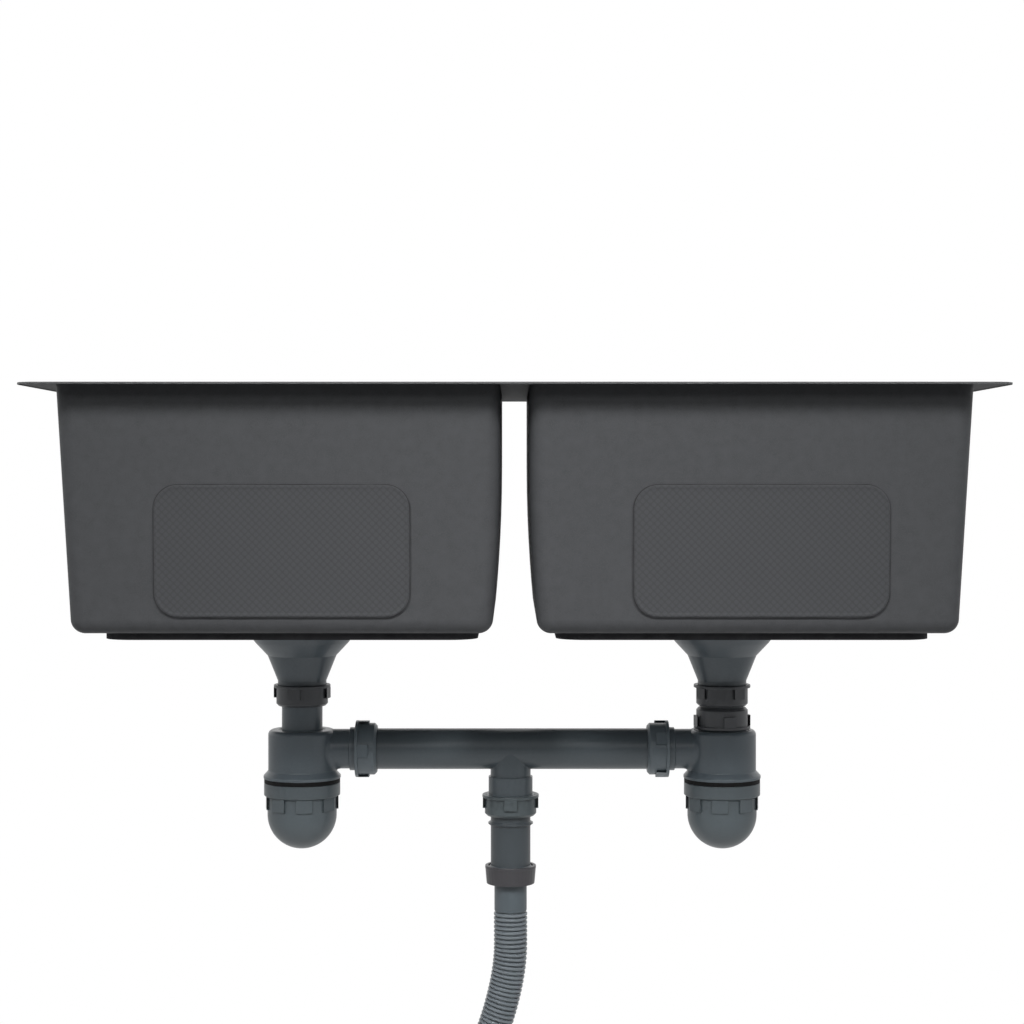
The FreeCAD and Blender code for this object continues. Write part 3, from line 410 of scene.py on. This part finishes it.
def standing(node, facing=UP):
    """A frame at the middle of the end of a node's box that faces that way, its Z axis along it."""
    middle, size = box_facts(node)
    reach = sum(abs(facing[i]) * size[i] for i in range(3)) / 2
    turn = UP.rotation_difference(facing).to_matrix().to_4x4()
    return Matrix.Translation(middle + facing * reach) @ turn


def turned_piece(node, corners, facing=UP, steps=ROUND_STEPS, shape=None, material=None, extra=()):
    """A piece of revolution that takes a CAD node's place."""
    rings = lathe_rings(rounded_outline(corners), steps, shape)
    return make_piece(
        node + "_detail",
        [woven(rings), *extra],
        standing(node, facing),
        material or slot_of(node),
        body_of(node),
        [node],
    )


# Coupling nuts

NUT_RADIUS, NUT_FLANGE, NUT_HIGH = 25.4, 27.9, 21.0
NUT_THREAD, NUT_HOLE, NUT_SHOULDER = 24.2, 20.3, 5.0
LUG_END, LUG_COUNT, LUG_HALF_WIDE = 13.2, 4, 6.2
LUG_PLATE, LUG_FACE, LUG_TOP = 0.4, 27.4, 2.8
LUG_WEB, LUG_FLOOR, LUG_OVERLAP = 0.7, 0.8, 0.1


def smooth_step(value, start, end):
    """0 before start, 1 after end, and an even curve between."""
    share = min(max((value - start) / (end - start), 0.0), 1.0)
    return share * share * (3 - 2 * share)


def block(low, high, turn):
    """A box between two corners, turned as its piece needs."""
    (x0, y0, z0), (x1, y1, z1) = low, high
    corners = [(x0, y0), (x1, y0), (x1, y1), (x0, y1)]
    rings = [[turn @ Vector((x, y, z)) for x, y in corners] for z in (z0, z1)]
    vertices, faces = woven(rings, closed=False)
    return vertices, faces + [(3, 2, 1, 0), (4, 5, 6, 7)]


def hollow_grips(count, start_angle, inside, face, half_wide, top, bottom):
    """Grips round a turned piece: a flat plate on a web, closed below, open at both sides."""
    back = face - LUG_PLATE
    root = back + LUG_OVERLAP
    shells = []
    for index in range(count):
        turn = Matrix.Rotation(start_angle + 2 * math.pi * index / count, 3, "Z")
        shells.append(block((back, -half_wide, bottom), (face, half_wide, top), turn))
        shells.append(block((inside, -LUG_WEB, bottom), (root, LUG_WEB, top), turn))
        floor = bottom + LUG_FLOOR
        shells.append(block((inside, -half_wide, bottom), (root, half_wide, floor), turn))
    return shells


def make_nut(node, facing, start_angle, material=None):
    """A coupling nut: flange, barrel with grips and a chamfered end that closes on its pipe."""
    corners = [
        (NUT_THREAD, 0, 0.3),
        (NUT_FLANGE, 0, 0.7),
        (NUT_FLANGE, -3.0, 0.5),
        (NUT_RADIUS, -3.0, 0.3),
        (NUT_RADIUS, 2.4 - NUT_HIGH, 0.8),
        (NUT_RADIUS - 2.4, -NUT_HIGH, 0.8),
        (NUT_HOLE, -NUT_HIGH, 0.4),
        (NUT_HOLE, NUT_SHOULDER - NUT_HIGH, 0),
        (NUT_THREAD, NUT_SHOULDER - NUT_HIGH, 0),
    ]
    inside = NUT_RADIUS - 1.0
    grips = hollow_grips(
        LUG_COUNT, start_angle, inside, LUG_FACE, LUG_HALF_WIDE, -LUG_TOP, -LUG_END
    )
    return turned_piece(node, corners, facing, material=material, extra=grips)


# Traps

TRAP_RADIUS, TRAP_FLANGE, TRAP_SHOULDER = 33.4, 38.0, 4.6
ARM_RADIUS, ARM_COLLAR, ARM_THREAD, ARM_BORE = 19.5, 21.2, 23.9, 17.0
ARM_DROP, ARM_COLLAR_START, ARM_REACH, ARM_END = 19.3, 47.4, 52.9, 65.7
ARM_FILLET, ARM_SOCKET, ARM_SOCKET_END, ARM_INNER_END = 5.0, 20.3, 53.7, 28.0


def trap_barrel(neck_radius, neck_bore, neck_high):
    """The upright of a trap body: neck, dished ring round it, shoulder, flare and thread."""
    thread, bore, foot = 34.5, 31.0, -61.9
    return [
        (neck_bore, neck_high, 0.3),
        (neck_radius, neck_high, 0.6),
        (neck_radius, -1.2, 0.8),
        (neck_radius + 2.0, -1.2, 0.8),
        (neck_radius + 3.4, 0.0, 0.9),
        (TRAP_RADIUS, 0.0, TRAP_SHOULDER),
        (TRAP_RADIUS, -40.2, 1.6),
        (TRAP_FLANGE, -45.2, 1.2),
        (TRAP_FLANGE, -47.9, 0.5),
        (thread, -47.9, 0),
        (thread, foot, 0.5),
        (bore, foot, 0),
        (bore, -3.0, 0),
        (neck_bore, -3.0, 0),
    ]


def arm_shell(direction):
    """The side arm, which grows out of the barrel with a small fillet all round."""
    rings = []

    def ring(at):
        points = []
        for step in range(COARSE_STEPS):
            angle = 2 * math.pi * step / COARSE_STEPS
            reach, radius = at(angle)
            y, z = radius * math.cos(angle), radius * math.sin(angle)
            points.append(Vector((reach * direction, y, z - ARM_DROP)))
        rings.append(points)

    def on_barrel(radius, angle):
        aside, height = radius * math.cos(angle), radius * math.sin(angle) - ARM_DROP
        into_shoulder = min(max(height + TRAP_SHOULDER, 0.0), TRAP_SHOULDER)
        inset = TRAP_SHOULDER - math.sqrt(TRAP_SHOULDER ** 2 - into_shoulder ** 2)
        return math.sqrt(max((TRAP_RADIUS - inset) ** 2 - aside ** 2, 0.0))

    for share in (0.0, 0.15, 0.3, 0.45, 0.6, 0.8, 1.0):
        def curved(angle, t=share):
            fillet = ARM_FILLET * (1 - smooth_step(math.sin(angle), 0.1, 0.8)) + 0.2
            wide = ARM_RADIUS + fillet
            foot = Vector((on_barrel(wide, angle) - 0.05, wide))
            knee = Vector((on_barrel(ARM_RADIUS, angle), ARM_RADIUS))
            top = Vector((knee.x + fillet, ARM_RADIUS))
            place = foot * (1 - t) ** 2 + knee * 2 * t * (1 - t) + top * t ** 2
            return place.x, place.y
        ring(curved)
    outline = rounded_outline([
        (ARM_RADIUS, ARM_COLLAR_START, 0.5),
        (ARM_COLLAR, ARM_COLLAR_START, 0.5),
        (ARM_COLLAR, ARM_REACH, 0.3),
        (ARM_THREAD, ARM_REACH, 0.3),
        (ARM_THREAD, ARM_END, 0.5),
        (ARM_SOCKET, ARM_END, 0),
        (ARM_SOCKET, ARM_SOCKET_END, 0),
        (ARM_BORE, ARM_SOCKET_END, 0),
        (ARM_BORE, ARM_INNER_END, 0),
    ])[1:]
    for point in outline:
        ring(lambda angle, p=point: (p.y, p.x))
    return woven(rings)


def make_trap_body(node, direction, neck_radius, neck_bore, arm_level):
    """The barrel stands at the node's own axis; the arm's height comes from the cross pipe."""
    middle, _ = box_facts(node)
    low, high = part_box(node)
    axis_x = (high[0] - TRAP_FLANGE * MM) if direction < 0 else (low[0] + TRAP_FLANGE * MM)
    top_z = arm_level + ARM_DROP * MM
    neck_high = (high[2] - top_z) / MM
    barrel = rounded_outline(trap_barrel(neck_radius, neck_bore, neck_high))
    return make_piece(
        node + "_detail",
        [woven(lathe_rings(barrel, ROUND_STEPS)), arm_shell(direction)],
        Matrix.Translation((axis_x, middle.y, top_z)),
        # A lighter tone than the cups: painted light against the bowls' shade.
        "trap_plastic",
        body_of(node),
        [node],
    )


CUP_RADIUS, CUP_RING, CUP_LUG = 34.1, 37.5, 35.3
CUP_RING_HIGH, CUP_CENTRE, CUP_BORE, CUP_THREAD, CUP_THREAD_END = 12.2, 31.2, 31.8, 34.8, 10.7
CUP_LUG_COUNT, CUP_LUG_HALF_WIDE, CUP_LUG_END = 8, 7.8, 26.0


def quarter_round(radius, steps, start, end):
    """Corners down a cup's round bottom, from one angle to another."""
    corners = []
    for step in range(steps + 1):
        angle = math.radians(start + (end - start) * step / steps)
        aside = max(radius * math.cos(angle), 0.01)
        corners.append((aside, -CUP_CENTRE - radius * math.sin(angle), 0))
    return corners


def make_cup(node, start_angle):
    """A ring over a barrel with flat grips, and a round bottom."""
    corners = [
        (CUP_THREAD, 0, 0.2),
        (CUP_RING, 0, 0.6),
        (CUP_RING, -CUP_RING_HIGH, 1.2),
        (CUP_RADIUS, -CUP_RING_HIGH - 2.0, 0.4),
        *quarter_round(CUP_RADIUS, 24, 0, 90),
        *quarter_round(CUP_BORE, 8, 90, 0),
        (CUP_BORE, -CUP_THREAD_END, 0),
        (CUP_THREAD, -CUP_THREAD_END, 0),
    ]
    grips = hollow_grips(
        CUP_LUG_COUNT,
        start_angle,
        CUP_RADIUS - 1.6,
        CUP_LUG,
        CUP_LUG_HALF_WIDE,
        -CUP_RING_HIGH - 0.6,
        -CUP_LUG_END,
    )
    return turned_piece(node, corners, extra=grips)


# Funnels, tube and hose coupling


def make_funnel(node):
    """The plastic funnel under a drain, with its ribbed hub for the screw."""
    middle, size = box_facts(node)
    corners = [
        (46.0, 0, 0.3),
        (57.0, 0, 0.5),
        (57.0, -3.9, 0.6),
        (45.9, -18.1, 2.0),
        (34.8, -29.9, 0.4),
        (33.9, -30.8, 0.6),
        (23.9, -55.7, 0.8),
        (23.9, -72.1, 0.5),
        (20.3, -72.1, 0),
        (20.3, -58.3, 0),
        (32.2, -29.9, 0),
        (42.4, -18.1, 0),
        (46.0, -11.9, 0),
    ]
    shells = [woven(lathe_rings(rounded_outline(corners), ROUND_STEPS))]
    hub = [(3.3, -22, 0), (6.5, -22, 0.5), (6.5, -38, 0.5), (3.3, -38, 0)]
    shells.append(woven(lathe_rings(rounded_outline(hub), HUB_STEPS)))
    for quarter in range(4):
        shells.append(funnel_rib(quarter * math.pi / 2))
    return make_piece(
        node + "_detail",
        shells,
        Matrix.Translation((middle.x, middle.y, middle.z + size.z / 2)),
        # A lighter tone than the cups: painted light against the bowls' shade.
        "trap_plastic",
        body_of(node),
        [node],
    )


def funnel_rib(angle):
    """One of the four ribs that hold the screw's hub."""
    half = 1.25
    flat = [(5.5, -38.0), (28.0, -38.0), (31.0, -29.9), (5.5, -29.9)]
    turn = Matrix.Rotation(angle, 3, "Z")
    rings = [[turn @ Vector((x, side, z)) for x, z in flat] for side in (-half, half)]
    vertices, faces = woven(rings, closed=False)
    faces += [(3, 2, 1, 0), (4, 5, 6, 7)]
    return vertices, faces


def make_drop_tube(node):
    """The tube under the branch, with its bead and its threaded foot."""
    corners = [
        (17.4, -73.0, 0.2),
        (21.7, -73.0, 0.4),
        (21.7, -69.0, 0.3),
        (19.6, -67.5, 0.6),
        (19.6, -28.1, 0.3),
        (20.5, -27.9, 0.3),
        (20.6, -26.9, 0.2),
        (22.1, -26.8, 0.4),
        (22.1, -25.2, 0.4),
        (20.6, -25.1, 0.2),
        (20.5, -24.2, 0.3),
        (19.6, -24.0, 0.3),
        (19.6, 0, 0.4),
        (17.4, 0, 0.2),
    ]
    # The tube's darker tone is painted shade.
    return turned_piece(node, corners, material="tube_plastic_painted_shade")


KNURL_INSIDE, KNURL_TOP, KNURL_END = 23.4, -3.2, -17.2
KNURL_DEPTH, KNURL_WAVES, KNURL_CURVE = 0.1, 18, 0.6


def knurl(radius, height, angle):
    """Fine upright grips round the hose nut, below its flange."""
    if radius < KNURL_INSIDE or height > KNURL_TOP or height < KNURL_END:
        return radius
    return radius - KNURL_DEPTH * abs(math.sin(angle * KNURL_WAVES)) ** KNURL_CURVE


def make_hose_nut(node):
    """The tapered nut that holds the hose to the drop tube."""
    corners = [
        (22.0, 0, 0.3),
        (25.1, 0, 0.5),
        (25.1, -2.6, 0.4),
        (24.9, -2.9, 0),
        (24.85, -3.6, 0),
        (23.75, -16.6, 0.3),
        (23.6, -17.8, 0.5),
        (16.3, -17.8, 0.4),
        (16.3, -11.7, 0),
        (22.0, -11.7, 0),
    ]
    # The hose nut's darker tone is painted shade.
    return turned_piece(node, corners, steps=KNURL_STEPS, shape=knurl, material="hose_nut_plastic_painted_shade")


# Sound-deadening pads on the walls

PAD_WIDE, PAD_HIGH, PAD_THICK, PAD_CORNER, PAD_LEDGE = 226.6, 118.4, 2.5, 22.0, 1.6
WALL_LEAN = math.atan(11.3 / 220)
# How far in from the pad's outline, and how high, each step of its edge is.
PAD_STEPS = [
    (0.0, 0.0),
    (0.0, 1.4),
    (0.3, PAD_LEDGE),
    (1.1, PAD_LEDGE),
    (1.4, 2.3),
    (1.9, PAD_THICK),
    (3.6, PAD_THICK),
    (4.2, 2.15),
    (5.0, 2.1),
]


def rounded_rectangle(wide, high, corner, per_corner=14):
    """Points round a rectangle with rounded corners, about its middle."""
    points = []
    for quarter, (sx, sz) in enumerate(((1, 1), (-1, 1), (-1, -1), (1, -1))):
        for step in range(per_corner + 1):
            angle = math.pi / 2 * (quarter + step / per_corner)
            points.append((
                sx * (wide / 2 - corner) + corner * math.cos(angle),
                sz * (high / 2 - corner) + corner * math.sin(angle),
            ))
    return points


def make_wall_pad(node, facing):
    """A soft-edged slab whose low ledge reads as a dark line round it; facing is -1 or 1 in Y."""
    middle, _ = box_facts(node)
    rings = []
    for inset, lift in PAD_STEPS:
        outline = rounded_rectangle(PAD_WIDE - 2 * inset, PAD_HIGH - 2 * inset, PAD_CORNER - inset)
        rings.append([Vector((x, z, lift)) for x, z in outline])
    vertices, faces = woven(rings, closed=False)
    count = len(rings[0])
    faces.append(tuple(range(count)))
    faces.append(tuple((len(rings) - 1) * count + k for k in range(count)))
    turn = Matrix.Rotation(-facing * (math.pi / 2 + WALL_LEAN), 4, "X")
    back = turn @ Vector((0, 0, PAD_THICK / 2 * MM))
    matrix = Matrix.Translation(middle - back) @ turn
    piece = make_piece(
        node + "_detail",
        [(vertices, faces)],
        matrix,
        "wall_pad",
        body_of(node),
        [node],
    )
    piece.data.materials.append(MATERIALS["floor_pad"])
    back_to_pad = matrix.inverted()
    for face in piece.data.polygons:
        spot = back_to_pad @ face.center / MM
        face.material_index = int(0.1 < spot.z < PAD_LEDGE + 0.1)
    return piece


# The rim's turned-down edge

RIM_WIDE, RIM_DEEP, RIM_CORNER, RIM_SHEET, LIP_DROP = 870.0, 440.0, 22.0, 1.2, 0.7


# The lip stands proud of the deck's side by a hair and stays under its top, so no faces coincide.
LIP_PROUD, LIP_BELOW_TOP, LIP_ROUNDING = 0.02, 0.1, 0.3
LIP_PROFILE = [
    (-LIP_PROUD, RIM_SHEET - LIP_BELOW_TOP),
    (-LIP_PROUD, LIP_ROUNDING - LIP_DROP),
    (LIP_ROUNDING, -LIP_DROP),
    (0.9, -LIP_DROP),
    (RIM_SHEET, LIP_ROUNDING - LIP_DROP),
    (RIM_SHEET, 0.1),
    (1.6, RIM_SHEET - LIP_BELOW_TOP),
]


def make_rim_lip():
    """The deck's edge, turned down all round: a narrow closed ring along its outer border."""
    rings = []
    for inset, height in LIP_PROFILE:
        outline = rounded_rectangle(RIM_WIDE - 2 * inset, RIM_DEEP - 2 * inset, RIM_CORNER - inset)
        rings.append([Vector((x, y, height)) for x, y in outline])
    return make_piece(
        "deck_lip",
        [woven(rings)],
        Matrix.Identity(4),
        # The lip's lighter tone is a painted highlight along the edge.
        "rim_edge_painted_highlight",
        body_of("deck"),
        [],
    )


def soften_floor_pads():
    """Round the mats' square edges."""
    for side in ("left", "right"):
        bevel = NODES[side + "_floor_pad"].modifiers.new("soft_edge", "BEVEL")
        bevel.width = 1.6 * MM
        bevel.segments = 2
        bevel.limit_method = "ANGLE"
        bevel.angle_limit = math.radians(50)


# Drain hose, in metres

RIB_PITCH, RIB_CREST, RIB_VALLEY = 0.0043, 0.0165, 0.0139
CUFF_LONG, END_CUFF_LONG, HOSE_BORE = 0.037, 0.034, 0.0136
CUFF_RADIUS, CUFF_END_RADIUS, END_CUFF_START_RADIUS = 0.016, 0.0157, 0.0158
COLLAR_RADIUS, COLLAR_EDGE, COLLAR_HIGH = 0.0208, 0.0204, 0.0022
HOSE_STEPS, BORE_RINGS = 72, 24
# One rib as (share of its pitch, share of its height): a narrow valley and a broad crest.
RIB_PROFILE = (
    (0.0, 0.0),
    (0.24, 0.0),
    (0.3, 0.6),
    (0.38, 0.92),
    (0.5, 1.0),
    (0.74, 1.0),
    (0.86, 0.92),
    (0.94, 0.6),
)


def hose_line():
    """Points along the smooth line through the hose's route, top first."""
    curve = bpy.data.curves.new("hose_line", "CURVE")
    curve.dimensions = "3D"
    curve.resolution_u = 64
    spline = curve.splines.new("NURBS")
    spline.points.add(len(HOSE_ROUTE) - 1)
    for point, place in zip(spline.points, HOSE_ROUTE):
        point.co = (*place, 1.0)
    spline.order_u = 3
    spline.use_endpoint_u = True
    holder = bpy.data.objects.new("hose_line", curve)
    mesh = bpy.data.meshes.new_from_object(holder)
    points = [vertex.co.copy() for vertex in mesh.vertices]
    bpy.data.objects.remove(holder)
    bpy.data.meshes.remove(mesh)
    return points


class Line:
    """A polyline that can be read at any distance along it."""

    def __init__(self, points):
        self.points = points
        self.marks = [0.0]
        for a, b in zip(points, points[1:]):
            self.marks.append(self.marks[-1] + (b - a).length)
        self.length = self.marks[-1]

    def at(self, distance):
        distance = min(max(distance, 0.0), self.length)
        i = 1
        while i < len(self.marks) - 1 and self.marks[i] < distance:
            i += 1
        span = self.marks[i] - self.marks[i - 1]
        share = (distance - self.marks[i - 1]) / span
        before, after = self.points[max(i - 2, 0)], self.points[min(i + 1, len(self.points) - 1)]
        return self.points[i - 1].lerp(self.points[i], share), (after - before).normalized()


def hose_radii(length):
    """Rows of (distance, radius) down the hose: collar, cuff, ribs and end cuff."""
    rows = [
        (0.0, COLLAR_RADIUS),
        (COLLAR_HIGH, COLLAR_RADIUS),
        (COLLAR_HIGH + 0.0004, COLLAR_EDGE),
        (COLLAR_HIGH + 0.0008, CUFF_RADIUS),
        (CUFF_LONG - 0.0012, CUFF_RADIUS),
        (CUFF_LONG - 0.0004, CUFF_END_RADIUS),
    ]
    count = int((length - CUFF_LONG - END_CUFF_LONG) / RIB_PITCH)
    for rib in range(count):
        for share, height in RIB_PROFILE:
            radius = RIB_VALLEY + (RIB_CREST - RIB_VALLEY) * height
            rows.append((CUFF_LONG + (rib + share) * RIB_PITCH, radius))
    end = CUFF_LONG + count * RIB_PITCH
    rows += [
        (end, RIB_VALLEY),
        (end + 0.0006, END_CUFF_START_RADIUS),
        (end + 0.0014, CUFF_RADIUS),
        (length, CUFF_RADIUS),
    ]
    return rows


def make_hose():
    """The ribbed hose with its bore, as one closed surface."""
    points = hose_line()
    line = Line(points)
    rings = []

    def ring(distance, radius):
        centre, along = line.at(distance)
        across = Vector((0, 1, 0)).cross(along).normalized()
        other = along.cross(across)
        points_round = []
        for step in range(HOSE_STEPS):
            angle = 2 * math.pi * step / HOSE_STEPS
            spoke = across * math.cos(angle) + other * math.sin(angle)
            points_round.append((centre + spoke * radius) / MM)
        rings.append(points_round)

    for distance, radius in hose_radii(line.length):
        ring(distance, radius)
    for step in range(BORE_RINGS + 1):
        ring(line.length * (1 - step / BORE_RINGS), HOSE_BORE)
    piece = make_piece(
        "drain_hose_detail",
        [woven(rings)],
        Matrix.Identity(4),
        "hose_plastic",
        body_of("drain_hose"),
        ["drain_hose"],
    )
    # The ribbed length is painted lighter than the cuffs of the same hose: a painted highlight for
    # its rib crests.
    piece.data.materials.append(MATERIALS["cuff_plastic"])
    ribs_top, ribs_end = HOSE_ROUTE[0][2] - CUFF_LONG, HOSE_ROUTE[-1][2] + END_CUFF_LONG
    for face in piece.data.polygons:
        face.material_index = 0 if ribs_end < face.center.z < ribs_top else 1
    return piece


# Stage: floor, light and camera

FLOOR_HALF, FLOOR_TONE, FLOOR_SHINE = 12.0, (0.8, 0.8, 0.8, 1), 0.5
WHITE = (1, 1, 1, 1)
ROOM_FRONT, ROOM_BACK, ROOM_SIDES = 0.04, 0.34, 0.7
KEY_POWER, LOW_POWER = 4.0, 0.75


def add_maths(tree, operation, first, second=None):
    """A node that works on one or two values, each a socket or a number."""
    node = tree.nodes.new("ShaderNodeMath")
    node.operation = operation
    for socket, value in zip(node.inputs, (first, second)):
        if isinstance(value, (int, float)):
            socket.default_value = value
        elif value is not None:
            tree.links.new(value, socket)
    return node.outputs[0]


def make_floor():
    """Pale floor that lights the object from below; white to the camera, half white in gloss."""
    mesh = bpy.data.meshes.new("floor")
    corners = [(-1, -1), (1, -1), (1, 1), (-1, 1)]
    places = [(x * FLOOR_HALF, y * FLOOR_HALF, FLOOR_HEIGHT) for x, y in corners]
    mesh.from_pydata(places, [], [(0, 1, 2, 3)])
    floor = bpy.data.objects.new("floor", mesh)
    bpy.context.scene.collection.objects.link(floor)
    material = bpy.data.materials.new("floor")
    material.use_nodes = True
    tree = material.node_tree
    shader = tree.nodes["Principled BSDF"]
    shader.inputs["Base Color"].default_value = FLOOR_TONE
    shader.inputs["Roughness"].default_value = 0.9
    glow = tree.nodes.new("ShaderNodeEmission")
    glow.inputs["Color"].default_value = WHITE
    ray = tree.nodes.new("ShaderNodeLightPath")
    mix = tree.nodes.new("ShaderNodeMixShader")
    output = tree.nodes["Material Output"]
    shiny = add_maths(tree, "MULTIPLY", ray.outputs["Is Glossy Ray"], FLOOR_SHINE)
    seen = add_maths(tree, "MAXIMUM", ray.outputs["Is Camera Ray"], shiny)
    tree.links.new(seen, mix.inputs["Fac"])
    tree.links.new(shader.outputs[0], mix.inputs[1])
    tree.links.new(glow.outputs[0], mix.inputs[2])
    tree.links.new(mix.outputs[0], output.inputs["Surface"])
    mesh.materials.append(material)


def make_world(front, back, sides):
    """White to the camera, and to gloss behind and above the object.

    To everything else it is a room that is dim in front and brighter behind and at the sides.
    """
    world = bpy.data.worlds.new("studio")
    bpy.context.scene.world = world
    world.use_nodes = True
    tree = world.node_tree
    glow = tree.nodes["Background"]
    glow.inputs["Color"].default_value = (0.97, 0.985, 1, 1)
    direction = tree.nodes.new("ShaderNodeTexCoord")
    split = tree.nodes.new("ShaderNodeSeparateXYZ")
    tree.links.new(direction.outputs["Generated"], split.inputs["Vector"])

    def level(source, low, high, start, end):
        node = tree.nodes.new("ShaderNodeMapRange")
        for name, number in zip(RANGE_SOCKETS, (low, high, start, end)):
            node.inputs[name].default_value = number
        tree.links.new(source, node.inputs["Value"])
        return node.outputs["Result"]

    front_to_back = level(split.outputs["Y"], -0.1, 0.5, front, back)
    at_sides = level(add_maths(tree, "ABSOLUTE", split.outputs["X"]), 0.6, 1.0, 0.0, sides)
    tree.links.new(add_maths(tree, "ADD", front_to_back, at_sides), glow.inputs["Strength"])
    white = tree.nodes.new("ShaderNodeBackground")
    white.inputs["Color"].default_value = WHITE
    ray = tree.nodes.new("ShaderNodeLightPath")
    shiny = add_maths(
        tree, "MAXIMUM", ray.outputs["Is Glossy Ray"], ray.outputs["Is Transmission Ray"]
    )
    behind = level(split.outputs["Y"], 0.0, 0.6, 0.0, 1.0)
    above = level(split.outputs["Z"], 0.4, 0.9, 0.0, 1.0)
    reflected = add_maths(tree, "MULTIPLY", shiny, add_maths(tree, "MAXIMUM", behind, above))
    seen = add_maths(tree, "MAXIMUM", ray.outputs["Is Camera Ray"], reflected)
    mix = tree.nodes.new("ShaderNodeMixShader")
    tree.links.new(seen, mix.inputs["Fac"])
    tree.links.new(glow.outputs[0], mix.inputs[1])
    tree.links.new(white.outputs[0], mix.inputs[2])
    tree.links.new(mix.outputs[0], tree.nodes["World Output"].inputs["Surface"])


def make_lamp(name, place, target, wide, high, power, spread):
    """A rectangular area lamp that faces its target; spread is in degrees."""
    data = bpy.data.lights.new(name, "AREA")
    data.shape = "RECTANGLE"
    data.size, data.size_y = wide, high
    data.energy = power
    data.spread = math.radians(spread)
    lamp = bpy.data.objects.new(name, data)
    lamp.location = place
    away = Vector(place) - Vector(target)
    lamp.rotation_euler = away.to_track_quat("Z", "Y").to_euler()
    bpy.context.scene.collection.objects.link(lamp)


def make_lamps():
    """A pair of keys from high in front, and a weak low pair for the pipework in their shadow."""
    for side in (-1, 1):
        aside = 0.02 + side * 1.3
        make_lamp("key", (aside, -3.22, 2.6), (0.02, -0.2, -0.1), 1.0, 1.48, KEY_POWER, 26)
        make_lamp("low", (aside, -3.9, 1.44), (0.02, -0.2, -0.25), 1.0, 0.72, LOW_POWER, 40)


def make_camera():
    """The camera at the photograph's own place, level, with its view shifted up or down."""
    data = bpy.data.cameras.new("camera")
    data.sensor_width = SENSOR
    data.lens = FOCAL_PIXELS / PICTURE * SENSOR
    data.shift_y = (LEVEL_ROW - PICTURE / 2) / PICTURE
    data.clip_end = 60
    camera = bpy.data.objects.new("camera", data)
    camera.location = CAMERA_PLACE
    camera.rotation_euler = (math.pi / 2, 0, 0)
    bpy.context.scene.collection.objects.link(camera)
    bpy.context.scene.camera = camera


# Everything together


def dress_plumbing():
    """The plastic pieces; each nut's grips are turned as the photograph shows them."""
    down, left, right = -UP, Vector((-1, 0, 0)), Vector((1, 0, 0))
    for node, facing, degrees, material in (
        ("left_inlet_nut", UP, -11.6, None),
        ("right_inlet_nut", UP, 34, None),
        ("right_trap_nut", down, -11.6, None),
        # The arm nuts get a lighter tone: painted light against the bowls' shade.
        ("left_arm_nut", left, 2, "arm_nut_plastic_painted_light"),
        ("right_arm_nut", right, -28, "arm_nut_plastic_painted_light"),
        # The branch nut gets a darker tone: painted shade.
        ("branch_nut", UP, 0, "tee_nut_plastic_painted_shade"),
    ):
        make_nut(node, facing, math.radians(degrees), material)
    arm_level = box_facts("left_arm_nut")[0].z
    make_trap_body("left_trap_body", 1, 20.0, 17.8, arm_level)
    make_trap_body("right_trap_body", -1, 23.9, 20.3, arm_level)
    make_cup("left_trap_cup", math.radians(-81.3))
    make_cup("right_trap_cup", math.radians(-98.7))
    make_funnel("left_waste_funnel")
    make_funnel("right_waste_funnel")
    make_drop_tube("drop_tube")
    make_hose_nut("hose_nut")


def dress_pads():
    """The pads on the front and back walls."""
    for side in ("left", "right"):
        make_wall_pad(side + "_front_pad", -1)
        make_wall_pad(side + "_rear_pad", 1)


dress_cad()
make_camera()
make_hose()
dress_plumbing()
dress_pads()
make_rim_lip()
soften_floor_pads()
make_floor()
make_world(ROOM_FRONT, ROOM_BACK, ROOM_SIDES)
make_lamps()

scene = bpy.context.scene
scene.view_settings.view_transform = "Standard"
scene.view_settings.look = "None"
